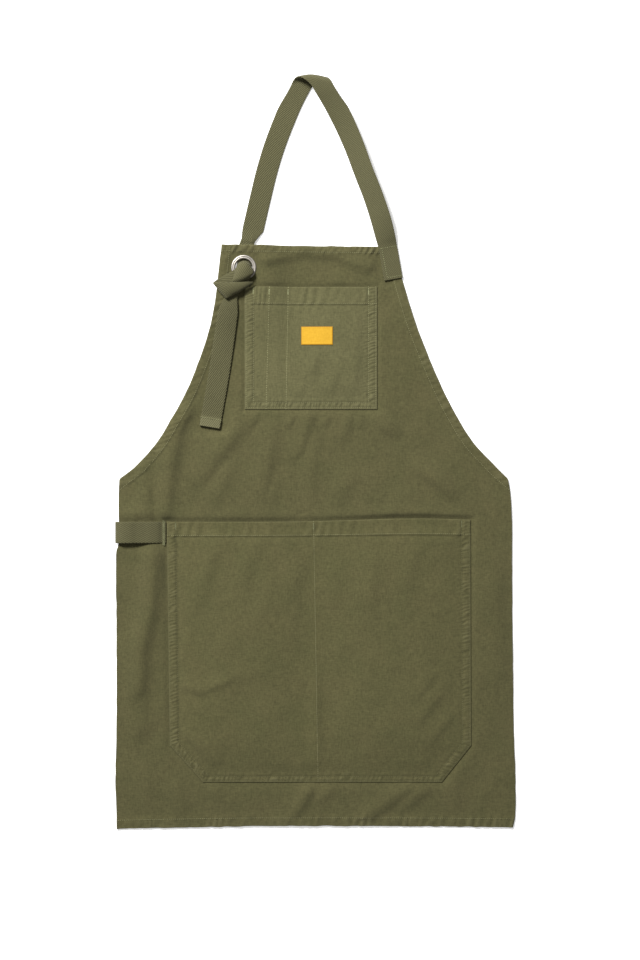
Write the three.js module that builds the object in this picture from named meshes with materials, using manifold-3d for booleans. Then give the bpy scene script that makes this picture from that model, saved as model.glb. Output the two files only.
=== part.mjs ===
// A canvas work apron laid face up: bib and skirt in one panel, two patch pockets,
// a neck strap knotted through an eyelet, and a towel loop.
// Millimetres. X runs across, Y from the hem up to the neck, Z up from the surface it lies on.
import * as THREE from "three";
import Module from "manifold-3d";
import { mergeVertices } from "three/addons/utils/BufferGeometryUtils.js";

const { lerp, smoothstep, degToRad } = THREE.MathUtils;

// Cloth and seams
const canvasThick = 1.2;
const hemThick = 1.0; // what a turned hem adds
const seamGap = 0.3; // air left between two sewn pieces
const hemWidth = 13;
const stepWidth = 2; // run of the step at the inner side of a hem
const sideTurn = 4;

// Panel
const waistY = -40; // where armhole meets side
const hemRunOut = -56; // where the armhole hem reaches the side edge
const topY = 309;
const bottomY = -563;

const armhole = [
  { y: 309, left: -140.5, right: 120.8 },
  { y: 267, left: -145.5, right: 128.6 },
  { y: 231, left: -149.6, right: 138.3 },
  { y: 195, left: -156.5, right: 149.6 },
  { y: 159, left: -166.8, right: 163.1 },
  { y: 123, left: -180.2, right: 178.0 },
  { y: 87, left: -195.5, right: 194.3 },
  { y: 51, left: -215.3, right: 213.3 },
  { y: 15, left: -237.5, right: 236.3 },
  { y: -21, left: -269.4, right: 269.7 },
  { y: -40, left: -294.0, right: 289.0 },
];

const side = [
  { y: -40, left: -294.0, right: 289.0 },
  { y: -66, left: -295.3, right: 292.8 },
  { y: -120, left: -294.6, right: 294.9 },
  { y: -138, left: -295.0, right: 294.8 },
  { y: -147, left: -298.4, right: 294.7 },
  { y: -165, left: -299.3, right: 294.6 },
  { y: -260, left: -298.4, right: 295.4 },
  { y: -420, left: -298.4, right: 297.6 },
  { y: -486, left: -300.0, right: 299.7 },
  { y: -545, left: -298.4, right: 299.6 },
  { y: -563, left: -298.0, right: 296.0 },
];

// Soft folds of the panel, each a ridge from one point to the other
const folds = [
  { x0: -196, y0: 92, x1: -208, y1: 30, reach: 13, height: 4.0 },
  { x0: -212, y0: 30, x1: -240, y1: -66, reach: 15, height: 4.5 },
  { x0: -262, y0: -190, x1: -266, y1: -330, reach: 15, height: 4.5 },
  { x0: -262, y0: -330, x1: -250, y1: -400, reach: 14, height: 3.5 },
  { x0: 40, y0: -86, x1: 215, y1: -84, reach: 11, height: 2.4 },
  { x0: -8, y0: -505, x1: -26, y1: -540, reach: 13, height: 3.5 },
  { x0: 138, y0: -505, x1: 84, y1: -545, reach: 13, height: 3.5 },
  { x0: -20, y0: 290, x1: 40, y1: 276, reach: 13, height: 1.8 },
  { x0: -14, y0: 50, x1: -26, y1: 5, reach: 16, height: 2.5 },
  { x0: 268, y0: -160, x1: 272, y1: -330, reach: 15, height: 3.0 },
];

// Raised parts of the panel: the bib corner over the strap, the side edge over the loop's end
const bibCorner = { height: 8, flatX: -80, endX: -30, flatY: 240, endY: 150 };
const loopEdge = { height: 2.7, flatX: -274, endX: -262, top: -96, bottom: -138, ramp: 26 };

// Pockets
const pocketHem = 0.8;
const chest = {
  top: 247.5,
  bottom: 64,
  left: -106.2,
  right: 92.6,
  hem: 25,
  seam: 10,
  penSeams: [
    { top: -68.9, bottom: -74.1 },
    { top: -40.8, bottom: -44.3 },
  ],
};
const lower = {
  top: -103,
  bottom: -495,
  hem: 22.5,
  seam: 12,
  divider: { top: -2.9, bottom: 3.8 },
  sides: [
    { y: -103, left: -222.9, right: 232.4 },
    { y: -440, left: -218.4, right: 233.4 },
    { y: -495, left: -168.9, right: 189.5 },
  ],
};

// Compartments, each cut into columns at these shares of its width
const slotCuts = [0, 0.3, 0.65, 1];
const innerSlotCuts = [0, 0.5, 1];
const mainCuts = [0, 0.06, 0.13, 0.26, 0.4, 0.54, 0.7, 0.87, 0.94, 1];
const halfCuts = [0, 0.055, 0.15, 0.33, 0.55, 0.78, 0.94, 1];
const slotLoft = 1.5;
const mainLoft = 5.4;
const halfLoft = 6.4;

const labelSize = { width: 47.5, height: 27.5, thick: 0.8, x: 2.2, y: 174.2 };

// Webbing
const webbing = { width: 32, thick: 2 };
const strapTopY = 565;
const foldRadius = 8.5;
const foldCrown = 0.0075; // how much the fold drops away to both sides
const floorLift = 0.2;

const eyelet = { x: -107.4, y: 276, inner: 12.75, barrel: 13.9, outer: 19, hole: 14.3 };
const ringSides = 28;

const canvasCloth = new THREE.MeshStandardMaterial({ color: 0x66623f, roughness: 0.95 });
const webbingCloth = new THREE.MeshStandardMaterial({ color: 0x6b6848, roughness: 0.95 });
const nickel = new THREE.MeshStandardMaterial({ color: 0xcfc8bf, roughness: 0.3, metalness: 1 });
const labelCloth = new THREE.MeshStandardMaterial({ color: 0xe8b548, roughness: 0.85 });

const wasm = await Module();
wasm.setup();

// One solid from three.js geometry
function solidFrom(geometry) {
  const bare = new THREE.BufferGeometry();
  bare.setAttribute("position", geometry.getAttribute("position").clone());
  if (geometry.index) bare.setIndex(geometry.index.clone());
  const merged = mergeVertices(bare, 1e-4);
  return new wasm.Manifold(
    new wasm.Mesh({
      numProp: 3,
      vertProperties: new Float32Array(merged.getAttribute("position").array),
      triVerts: new Uint32Array(merged.index.array),
    }),
  );
}

function geometryFrom(solid) {
  const mesh = solid.getMesh();
  const geometry = new THREE.BufferGeometry();
  geometry.setAttribute("position", new THREE.BufferAttribute(mesh.vertProperties.slice(), 3));
  geometry.setIndex(new THREE.BufferAttribute(mesh.triVerts.slice(), 1));
  return geometry;
}

function geometryOf(points, faces) {
  const geometry = new THREE.BufferGeometry();
  geometry.setAttribute("position", new THREE.Float32BufferAttribute(points, 3));
  geometry.setIndex(faces);
  return geometry;
}

// Value of a table's column at y, with smooth slopes between its rows
function along(table, key, y) {
  const last = table.length - 1;
  let k = 0;
  while (k < last - 1 && y < table[k + 1].y) k++;
  const slope = (i) => {
    const a = table[Math.max(i - 1, 0)];
    const b = table[Math.min(i + 1, last)];
    return (b[key] - a[key]) / (b.y - a.y);
  };
  const span = table[k + 1].y - table[k].y;
  const t = THREE.MathUtils.clamp((y - table[k].y) / span, 0, 1);
  const t2 = t * t;
  const t3 = t2 * t;
  return (
    (2 * t3 - 3 * t2 + 1) * table[k][key] +
    (t3 - 2 * t2 + t) * span * slope(k) +
    (3 * t2 - 2 * t3) * table[k + 1][key] +
    (t3 - t2) * span * slope(k + 1)
  );
}

function straight(table, key, y) {
  let k = 0;
  while (k < table.length - 2 && y < table[k + 1].y) k++;
  return lerp(table[k][key], table[k + 1][key], (y - table[k].y) / (table[k + 1].y - table[k].y));
}

const edgeAt = (key, y) => along(y > waistY ? armhole : side, key, y);

// Width of the hem band measured across, wider where the armhole runs flat
function hemReach(key, y) {
  if (y <= hemRunOut) return sideTurn;
  const at = Math.max(y, waistY + 4);
  const slope = (edgeAt(key, at + 3) - edgeAt(key, at - 3)) / 6;
  const reach = hemWidth * Math.hypot(1, slope);
  return y >= waistY ? reach : lerp(sideTurn, reach, (y - hemRunOut) / (waistY - hemRunOut));
}

// Columns between two breaks for each compartment of a pocket
function cutColumns(breaks, cuts) {
  const xs = [breaks[0]];
  cuts.forEach((shares, i) => {
    shares.slice(1).forEach((share) => xs.push(lerp(breaks[i], breaks[i + 1], share)));
  });
  return xs;
}

function chestColumns(y) {
  const up = THREE.MathUtils.clamp((y - chest.bottom) / (chest.top - chest.bottom), 0, 1);
  const seams = chest.penSeams.map((seam) => lerp(seam.bottom, seam.top, up));
  return cutColumns([chest.left, ...seams, chest.right], [slotCuts, innerSlotCuts, mainCuts]);
}

function lowerColumns(y) {
  const at = THREE.MathUtils.clamp(y, lower.bottom, lower.top);
  const up = (at - lower.bottom) / (lower.top - lower.bottom);
  const middle = lerp(lower.divider.bottom, lower.divider.top, up);
  const mirrored = halfCuts.map((share) => 1 - share).reverse();
  return cutColumns(
    [straight(lower.sides, "left", at), middle, straight(lower.sides, "right", at)],
    [halfCuts, mirrored],
  );
}

// Columns that run up through both pockets, so that each pocket lies on the panel's own columns
function pocketColumns(y) {
  const down = smoothstep(chest.bottom - y, 0, chest.bottom - lower.top);
  const from = chestColumns(y);
  const to = lowerColumns(y);
  return from.map((x, i) => lerp(x, to[i], down));
}

const marginCuts = [0.2, 0.4, 0.6, 0.8];

function panelColumns(y) {
  const pocket = pocketColumns(y);
  const half = stepWidth / 2;
  const leftEdge = edgeAt("left", y);
  const rightEdge = edgeAt("right", y);
  const leftHem = leftEdge + hemReach("left", y);
  const rightHem = rightEdge - hemReach("right", y);
  return [
    leftEdge,
    leftHem - half,
    leftHem + half,
    ...marginCuts.map((share) => lerp(leftHem + half, pocket[0], share)),
    ...pocket,
    ...marginCuts.map((share) => lerp(pocket[pocket.length - 1], rightHem - half, share)),
    rightHem - half,
    rightHem + half,
    rightEdge,
  ];
}

// How far the panel's rows bow away from straight
function bow(x, y) {
  const atHem = 1 - smoothstep(y - bottomY, 0, 60);
  const atMouth = 1 - smoothstep(Math.abs(y - lower.top), 0, 45);
  const atTop = 1 - smoothstep(topY - y, 0, 40);
  const hemDip = x < 0 ? -4.5 * (x / 300) ** 2 : -2 * (x / 300) ** 2;
  const mouthRise = 5 * Math.exp(-(((x - 150) / 120) ** 2)) - 1.5;
  const topSlope = -1.6 * (x / 140);
  return atHem * (hemDip + 2.5) + atMouth * mouthRise + atTop * topSlope;
}

function foldHeight(x, y) {
  let height = 0;
  for (const fold of folds) {
    const dx = fold.x1 - fold.x0;
    const dy = fold.y1 - fold.y0;
    const t = THREE.MathUtils.clamp(
      ((x - fold.x0) * dx + (y - fold.y0) * dy) / (dx * dx + dy * dy), 0, 1);
    const away = Math.hypot(x - fold.x0 - t * dx, y - fold.y0 - t * dy);
    height = Math.max(height, fold.height * Math.exp(-((away / fold.reach) ** 2)));
  }
  return height < 0.15 ? 0 : height;
}

// Raised height that everything sewn to the panel follows
function liftAt(x, y) {
  const c = bibCorner;
  const corner =
    c.height * (1 - smoothstep(x, c.flatX, c.endX)) * smoothstep(y, c.endY, c.flatY);
  const e = loopEdge;
  const edge =
    e.height *
    (1 - smoothstep(x, e.flatX, e.endX)) *
    (1 - smoothstep(y, e.top, e.top + e.ramp)) *
    smoothstep(y, e.bottom - e.ramp, e.bottom);
  return corner + edge;
}

const panelLevels = [
  bottomY, -552, -550, -532, -513, lower.bottom, -483, -466, -440, -380, -320, -260, -205, -167,
  -147, -138, -126.5, -124.5, lower.top, -96, -86, -74, hemRunOut, waistY, -26, -10, 10, 36,
  chest.bottom, 74, 90, 115, 145, 175, 200, 221.5, 223.5, chest.top, 262, 278, 295, 297, topY,
];
const marginCount = 3 + marginCuts.length;

function inPocket(column, y, count) {
  const within = column >= marginCount && column < count - marginCount;
  const chestRow = y >= chest.bottom && y <= chest.top;
  const lowerRow = y >= lower.bottom && y <= lower.top;
  return within && (chestRow || lowerRow);
}

// Panel as a grid of points, each with the height of its back and of its front
function panelGrid() {
  return panelLevels.map((y) => {
    const xs = panelColumns(y);
    return xs.map((x, i) => {
      const atSide = (i < 2 || i > xs.length - 3) && y > hemRunOut;
      const hemmed = atSide || y > 296 || y < -551;
      const low = liftAt(x, y) + (inPocket(i, y, xs.length) ? 0 : foldHeight(x, y));
      return { x, y: y + bow(x, y), low, high: low + canvasThick + (hemmed ? hemThick : 0) };
    });
  });
}

// Closed sheet from a grid of points: front, back and the rim all round
function sheetGeometry(grid) {
  const rows = grid.length;
  const columns = grid[0].length;
  const points = [];
  const faces = [];
  grid.flat().forEach((p) => points.push(p.x, p.y, p.high));
  grid.flat().forEach((p) => points.push(p.x, p.y, p.low));
  const back = rows * columns;
  for (let r = 0; r < rows - 1; r++) {
    for (let c = 0; c < columns - 1; c++) {
      const a = r * columns + c;
      const b = a + 1;
      const d = a + columns;
      const e = d + 1;
      faces.push(a, b, e, a, e, d);
      faces.push(back + a, back + e, back + b, back + a, back + d, back + e);
    }
  }
  const rim = [];
  for (let c = 0; c < columns - 1; c++) rim.push(c);
  for (let r = 0; r < rows - 1; r++) rim.push(r * columns + columns - 1);
  for (let c = columns - 1; c > 0; c--) rim.push((rows - 1) * columns + c);
  for (let r = rows - 1; r > 0; r--) rim.push(r * columns);
  rim.forEach((a, i) => {
    const b = rim[(i + 1) % rim.length];
    faces.push(back + a, back + b, b, back + a, b, a);
  });
  return geometryOf(points, faces);
}

// Flat-topped rise from 0 at both seams of a compartment
const swell = (share, ramp) =>
  smoothstep(share, 0.05, ramp) * (1 - smoothstep(share, 1 - ramp, 0.95));

// A pocket's grid: the panel's own points inside its outline, raised by the seam gap and the loft
function pocketGrid(panel, pocket, loftAt) {
  return panel
    .filter((row, r) => panelLevels[r] >= pocket.bottom && panelLevels[r] <= pocket.top)
    .map((row, r, kept) => {
      const points = row.slice(marginCount, row.length - marginCount);
      const y = panelLevels[panelLevels.indexOf(pocket.bottom) + r];
      const hemmed = y > pocket.top - pocket.hem;
      return points.map((p, i) => {
        const low = p.high + seamGap + loftAt(i, y, r, kept.length);
        return { x: p.x, y: p.y, low, high: low + canvasThick + (hemmed ? pocketHem : 0) };
      });
    });
}

// Loft of column i in a pocket whose compartments are cut as given
function loftOf(cuts, lofts, ramps, pocket) {
  const shares = [];
  cuts.forEach((list, k) => {
    list.slice(k ? 1 : 0).forEach((share) => shares.push({ share, k }));
  });
  return (i, y) => {
    const { share, k } = shares[i];
    const up = smoothstep(y, pocket.bottom + pocket.seam, pocket.bottom + pocket.seam + 45);
    return lofts[k] * swell(share, ramps[k]) * up;
  };
}

const panel = panelGrid();
const bore = new THREE.CylinderGeometry(eyelet.hole, eyelet.hole, 40, ringSides);
bore.rotateX(Math.PI / 2).translate(eyelet.x, eyelet.y, bibCorner.height);
const bodyShape = geometryFrom(solidFrom(sheetGeometry(panel)).subtract(solidFrom(bore)));

const mirroredHalf = halfCuts.map((share) => 1 - share).reverse();
const chestLoft = loftOf(
  [slotCuts, innerSlotCuts, mainCuts], [slotLoft, slotLoft, mainLoft], [0.3, 0.5, 0.13], chest);
const lowerLoft = loftOf([halfCuts, mirroredHalf], [halfLoft, halfLoft], [0.15, 0.15], lower);
const chestShape = sheetGeometry(pocketGrid(panel, chest, chestLoft));
const lowerShape = sheetGeometry(pocketGrid(panel, lower, lowerLoft));

const labelShape = new THREE.BoxGeometry(labelSize.width, labelSize.height, labelSize.thick);
const labelZ = 2 * canvasThick + 2 * seamGap + mainLoft + labelSize.thick / 2;

// Eyelet, turned round its own axis; heights are measured from the panel's front
const frontZ = bibCorner.height + canvasThick;
function turned(profile) {
  const points = profile.map(([radius, height]) => new THREE.Vector2(radius, height));
  const shape = new THREE.LatheGeometry([...points, points[0]], ringSides);
  return shape.rotateX(Math.PI / 2);
}
const ringShape = turned([
  [eyelet.inner, -2.2],
  [eyelet.barrel, -2.2],
  [eyelet.barrel, seamGap],
  [eyelet.outer, seamGap],
  [eyelet.outer, 0.9],
  [eyelet.outer - 0.7, 1.7],
  [eyelet.outer - 1.9, 2.1],
  [eyelet.inner + 3.2, 1.75],
  [eyelet.inner + 2.2, 2.1],
  [eyelet.inner + 0.9, 1.8],
  [eyelet.inner, 1.0],
]);
const washerShape = turned([
  [eyelet.barrel + 0.2, -canvasThick - seamGap - 0.7],
  [eyelet.outer - 0.6, -canvasThick - seamGap - 0.7],
  [eyelet.outer - 0.6, -canvasThick - seamGap],
  [eyelet.barrel + 0.2, -canvasThick - seamGap],
]);

// Webbing swept along a table of stations. Columns: x, y, z of its middle, roll and curl in degrees
// (curl is the turn of each half at its edge), half widths to both sides, thickness, width direction.
const acrossCuts = 6;
const upright = new THREE.Vector3(0, 0, 1);

function sweep(stations, perSpan, bend = (point) => point) {
  const path = new THREE.CatmullRomCurve3(
    stations.map((s) => new THREE.Vector3(s.x, s.y, s.z)));
  const spans = stations.length - 1;
  const count = spans * perSpan;
  const points = [];
  const faces = [];
  const put = (p) => points.push(...bend(p).toArray());
  for (let i = 0; i <= count; i++) {
    const t = i / count;
    const k = Math.min(Math.floor((i / perSpan) + 1e-9), spans - 1);
    const f = i / perSpan - k;
    const [a, b] = [stations[k], stations[k + 1]];
    const value = (key, plain) => lerp(a[key] ?? plain, b[key] ?? plain, f);
    const middle = path.getPoint(t);
    const ahead = path.getTangent(t);
    const flat = upright.clone().cross(ahead).normalize();
    const wide = (s) => (s.across ? new THREE.Vector3(...s.across).normalize() : flat);
    const across = wide(a).clone().lerp(wide(b), f);
    across.addScaledVector(ahead, -across.dot(ahead)).normalize();
    across.applyAxisAngle(ahead, degToRad(value("roll", 0)));
    const out = ahead.clone().cross(across);
    const thick = value("thick", webbing.thick) / 2;
    const ring = { front: [], back: [] };
    for (let j = 0; j <= acrossCuts; j++) {
      const share = (2 * j) / acrossCuts - 1;
      const half = value(share < 0 ? "left" : "right", webbing.width / 2);
      const curl = degToRad(value("curl", 0));
      const turn = share * curl;
      const reach = Math.abs(curl) < 1e-3 ? share * half : (half / curl) * Math.sin(turn);
      const drop = Math.abs(curl) < 1e-3 ? 0 : (half / curl) * (1 - Math.cos(turn));
      const face = out.clone().multiplyScalar(Math.cos(turn));
      face.addScaledVector(across, Math.sin(turn));
      const on = middle.clone().addScaledVector(across, reach).addScaledVector(out, -drop);
      ring.front.push(on.clone().addScaledVector(face, thick));
      ring.back.push(on.addScaledVector(face, -thick));
    }
    ring.front.forEach(put);
    ring.back.reverse().forEach(put);
  }
  const size = 2 * (acrossCuts + 1);
  for (let i = 0; i < count; i++) {
    for (let j = 0; j < size; j++) {
      const a = i * size + j;
      const b = i * size + ((j + 1) % size);
      faces.push(a, b + size, b, a, a + size, b + size);
    }
  }
  const lastRing = count * size;
  for (let j = 0; j < acrossCuts; j++) {
    const [a, b, d, e] = [j, j + 1, size - 2 - j, size - 1 - j];
    faces.push(a, b, d, a, d, e);
    faces.push(lastRing + a, lastRing + d, lastRing + b, lastRing + a, lastRing + e, lastRing + d);
  }
  return geometryOf(points, faces);
}

// Strap from the tab up the right leg, over the fold and down the left leg.
// It is laid out unrolled: y runs on past the fold, z is the height over the upper leg's middle.
const foldAxisY = strapTopY - foldRadius - webbing.thick / 2;
const foldAxisZ = floorLift + webbing.thick / 2 + foldRadius;
const halfTurn = Math.PI * foldRadius;
const upperZ = foldAxisZ + foldRadius;

function overFold(p) {
  const nearFold = smoothstep(p.y, -25, 0) * (1 - smoothstep(p.y, halfTurn, halfTurn + 25));
  const drop = foldCrown * (p.x + 7.5) ** 2 * nearFold;
  if (p.y <= 0) return new THREE.Vector3(p.x, foldAxisY + p.y - drop, upperZ + p.z);
  if (p.y >= halfTurn) {
    return new THREE.Vector3(p.x, foldAxisY - (p.y - halfTurn) - drop, foldAxisZ - foldRadius - p.z);
  }
  const turn = p.y / foldRadius;
  const radius = foldRadius + p.z;
  return new THREE.Vector3(
    p.x, foldAxisY + radius * Math.sin(turn) - drop, foldAxisZ + radius * Math.cos(turn));
}

const tabZ = canvasThick + hemThick + seamGap + webbing.thick / 2;
const rightLeg = [
  { x: 117.0, y: 259, z: tabZ, left: 14, right: 14 },
  { x: 112.6, y: 284, z: tabZ, left: 14, right: 14 },
  { x: 108.4, y: 307, z: tabZ, left: 14, right: 14 },
  { x: 104.7, y: 322, z: 6.2, roll: 18, left: 15, right: 15 },
  { x: 97.7, y: 348, z: 10.2, roll: 34 },
  { x: 85.7, y: 384, z: 11.6, roll: 38 },
  { x: 71.6, y: 420, z: 12.0, roll: 39 },
  { x: 58.4, y: 456, z: 11.6, roll: 34 },
  { x: 42.8, y: 492, z: 12.0, roll: 23 },
  { x: 24.2, y: 528, z: 15.2, roll: 8 },
  { x: 14.6, y: 544, z: 17.4, roll: 2 },
].map((s) => ({ ...s, y: s.y - foldAxisY, z: s.z - upperZ }));
const foldTurn = [
  { x: 7.6, y: 0, z: 0 },
  { x: 1.6, y: 0.25 * halfTurn, z: 0 },
  { x: -5.6, y: 0.5 * halfTurn, z: 0 },
  { x: -12.8, y: 0.75 * halfTurn, z: 0 },
  { x: -18.6, y: halfTurn, z: 0 },
];
const leftLeg = [
  { x: -24.6, y: 545 },
  { x: -33.5, y: 528 },
  { x: -48.8, y: 492 },
  { x: -62.3, y: 456 },
  { x: -73.1, y: 420 },
  { x: -81.9, y: 384 },
  { x: -90.3, y: 348 },
  { x: -93.8, y: 332 },
  { x: -94.8, y: 322, left: 9, thick: 3.2, z: -0.6 },
  { x: -95.4, y: 314, left: 3.5, thick: 4.2, z: -1.1 },
].map((s) => ({ ...s, y: halfTurn + foldAxisY - s.y, z: s.z ?? 0 }));
const loopShape = sweep([...rightLeg, ...foldTurn, ...leftLeg], 2, overFold);

// The rest of the strap is placed from the eyelet's middle
const fromEyelet = (stations) =>
  stations.map((s) => ({ ...s, x: s.x + eyelet.x, y: s.y + eyelet.y }));
const sideways = [1, 0, 0];

// Behind the bib, up through the eyelet and over its lower rim
const throughEyelet = fromEyelet([
  { x: 12.2, y: 41, z: 2.3, right: 5, thick: 4 },
  { x: 9.6, y: 34, z: 2.4, right: 5, thick: 4 },
  { x: 6.2, y: 26, z: 3.4, right: 8, thick: 3.2, curl: 8 },
  { x: 3.2, y: 19, z: 4.9, curl: 16, left: 13, right: 13 },
  { x: 1.8, y: 13.0, z: 5.5, curl: 28, left: 11, across: sideways },
  { x: 0.4, y: 9.2, z: 7.7, curl: 70, left: 12.5, right: 14.5, across: sideways },
  { x: 0.0, y: 8.8, z: 10.4, curl: 87, left: 15.5, right: 15.5, across: sideways },
  { x: 0.2, y: 8.2, z: 14.6, curl: 85, across: sideways },
  { x: 0.3, y: 4.4, z: 19.2, curl: 82, across: sideways },
  { x: 0.6, y: -2.5, z: 21.4, curl: 62, across: sideways },
  { x: 0.2, y: -10, z: 20.8, curl: 48, across: sideways },
  { x: -1.5, y: -18, z: 18.6, curl: 38, across: sideways },
  { x: -3.5, y: -26, z: 15.9, curl: 28, right: 10, across: sideways },
  { x: -5.5, y: -34, z: 13.6, curl: 14, right: 5, across: sideways },
]);

// The knot's band: from under the strap to the left, folded over there, and back in front of it
const bandAcross = [0.5, -0.866, 0];
const cornerAcross = [0.69, -0.72, 0];
const knotBand = fromEyelet([
  { x: -3.0, y: -16.4, z: 13.2, across: bandAcross },
  { x: -14.0, y: -22.4, z: 12.6, across: bandAcross },
  { x: -25.0, y: -28.4, z: 12.6, across: bandAcross },
  { x: -32.6, y: -31.6, z: 12.4, across: cornerAcross },
  { x: -35.4, y: -33.6, z: 15.1, across: cornerAcross },
  { x: -32.6, y: -31.4, z: 17.8, across: cornerAcross },
  { x: -21.0, y: -32.4, z: 18.6, left: 12.5, right: 13.5, curl: -26, across: [0.4, -0.86, -0.26] },
  { x: -8.0, y: -31.2, z: 19.2, left: 9.5, right: 10.5, curl: -30, across: [0.05, -0.9, -0.33] },
  { x: 4.0, y: -27.6, z: 18.6, left: 7, right: 7.5, curl: -30, across: [-0.1, -0.9, -0.33] },
  { x: 11.0, y: -23.4, z: 17.0, left: 4.5, right: 4.5, curl: -26, across: [-0.3, -0.85, -0.33] },
  { x: 15.0, y: -20.8, z: 15.0, left: 3.5, right: 3.5, curl: -20, across: [-0.4, -0.8, -0.33] },
]);

// The tail, lying on the panel, its end turned back
function tailZ(s) {
  const curled = 0.5 * s.left * degToRad(s.curl ?? 0);
  return liftAt(s.x, s.y + 4) + tailRest + curled + (s.thick ? 0.8 : 0.4);
}
const tailRest = canvasThick + hemThick + seamGap + webbing.thick / 2;
const tail = fromEyelet([
  { x: -13.0, y: -30, left: 9, right: 9 },
  { x: -18.0, y: -44, left: 9, right: 9 },
  { x: -20.6, y: -54, left: 12, right: 12, curl: 14 },
  { x: -23.2, y: -66, left: 15, right: 15, curl: 12 },
  { x: -29.0, y: -104, left: 15.5, right: 15.5, curl: 6 },
  { x: -35.4, y: -148, left: 15.5, right: 15.5 },
  { x: -42.0, y: -187, left: 15.5, right: 15.5 },
  { x: -48.6, y: -224, left: 15.5, right: 15.5 },
  { x: -49.0, y: -226.5, left: 15.5, right: 15.5, thick: 3.6 },
  { x: -51.0, y: -238.5, left: 15.5, right: 15.5, thick: 3.6 },
]).map((s) => ({ ...s, z: tailZ(s) }));

const strapShape = geometryFrom(
  wasm.Manifold.union([
    solidFrom(loopShape),
    solidFrom(sweep(throughEyelet, 2)),
    solidFrom(sweep(knotBand, 2)),
    solidFrom(sweep(tail, 2)),
  ]),
);

// Towel loop: sewn down beside the lower pocket, bowed up, round the side edge to the back
const loopY = -120.4;
const sewnZ = canvasThick + seamGap + webbing.thick / 2;
const towelLoop = [
  { x: -224.4, z: sewnZ },
  { x: -234, z: sewnZ },
  { x: -247, z: sewnZ + 1.4 },
  { x: -258, z: 7.6 },
  { x: -268, z: 11.2 },
  { x: -279, z: 12.6 },
  { x: -290, z: 11.6 },
  { x: -297, z: 8.4 },
  { x: -299, z: 5.2 },
  { x: -297.2, z: 2.1 },
  { x: -291, z: 1.2 },
  { x: -279, z: 1.2 },
].map((s) => ({ ...s, y: 0, across: [0, 1, 0] }));
const towelShape = sweep(towelLoop, 2);

const apron = new THREE.Group();
apron.name = "canvas_apron";
const eyeletPlace = new THREE.Group();
eyeletPlace.position.set(eyelet.x, eyelet.y, frontZ);
apron.add(eyeletPlace);

function addPiece(group, name, shape, material) {
  const mesh = new THREE.Mesh(shape, material);
  mesh.name = name;
  group.add(mesh);
  return mesh;
}

addPiece(apron, "apron_body", bodyShape, canvasCloth);
addPiece(apron, "chest_pocket", chestShape, canvasCloth);
addPiece(apron, "lower_pocket", lowerShape, canvasCloth);
addPiece(apron, "label", labelShape, labelCloth).position.set(labelSize.x, labelSize.y, labelZ);
addPiece(apron, "neck_strap", strapShape, webbingCloth);
addPiece(eyeletPlace, "eyelet_ring", ringShape, nickel);
addPiece(eyeletPlace, "eyelet_washer", washerShape, nickel);
addPiece(apron, "towel_loop", towelShape, webbingCloth).position.y = loopY;

export default apron;
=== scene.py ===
# Canvas work apron laid face up on a pale floor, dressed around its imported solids.
# Tables are in millimetres, the studio's in metres: X across, Y from the hem up to the neck, Z up.
import math
import bpy
import numpy as np
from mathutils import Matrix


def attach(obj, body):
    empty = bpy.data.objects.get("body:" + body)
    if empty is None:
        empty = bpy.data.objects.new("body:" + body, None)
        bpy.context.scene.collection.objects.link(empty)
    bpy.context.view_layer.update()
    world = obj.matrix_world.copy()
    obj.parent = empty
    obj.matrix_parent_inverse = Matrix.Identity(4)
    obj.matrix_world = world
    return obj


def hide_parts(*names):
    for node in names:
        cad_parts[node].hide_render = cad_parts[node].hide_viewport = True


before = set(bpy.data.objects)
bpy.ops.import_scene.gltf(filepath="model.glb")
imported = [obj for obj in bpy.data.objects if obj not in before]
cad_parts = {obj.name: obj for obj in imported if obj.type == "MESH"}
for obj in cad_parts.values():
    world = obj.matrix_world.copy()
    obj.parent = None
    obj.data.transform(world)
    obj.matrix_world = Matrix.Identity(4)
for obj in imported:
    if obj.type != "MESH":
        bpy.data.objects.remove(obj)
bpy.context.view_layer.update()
mm = 0.001
farAway = 1e9
print("frame loaded,", len(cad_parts), "solids")


# Small sums that every piece uses

def ramp(value, start, end):  # smooth rise from 0 to 1
    t = np.clip((value - start) / (end - start), 0, 1)
    return t * t * (3 - 2 * t)


def bell(value, reach):
    return np.exp(-((value / reach) ** 2))


def hills(x, y, size, seed):  # smooth random heights from -1 to 1, about size apart
    cells = 128
    table = np.random.default_rng(seed).uniform(-1, 1, (cells, cells))
    gx, gy = np.broadcast_arrays(np.asarray(x) / size, np.asarray(y) / size)
    ix, iy = np.floor(gx).astype(int), np.floor(gy).astype(int)
    fx, fy = gx - ix, gy - iy
    fx = fx ** 3 * (fx * (6 * fx - 15) + 10)
    fy = fy ** 3 * (fy * (6 * fy - 15) + 10)
    c00 = table[ix % cells, iy % cells]
    c10 = table[(ix + 1) % cells, iy % cells]
    c01 = table[ix % cells, (iy + 1) % cells]
    c11 = table[(ix + 1) % cells, (iy + 1) % cells]
    near = c00 + (c10 - c00) * fx
    far = c01 + (c11 - c01) * fx
    return near + (far - near) * fy


pucker = {
    "strength": 0.6, "least": 0.1, "height": 2, "roundness": 0.02, "level": 1.2,
    "varySeed": 50, "crumpleSeed": 90,
    "wander": (0.95, 2.2, 0.3), "vary": (0.8, 3, 0.2), "crumple": (0.6, 0.42, 0.4),  # share, size, stretch
}
slackness = {
    "turn": (0.86, 0.5), "drawnOut": 0.3, "middle": 0.5,
    "broad": (0.26, 95), "drag": (0.2, 30), "fine": (0.08, 16),  # share, size
}


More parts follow.
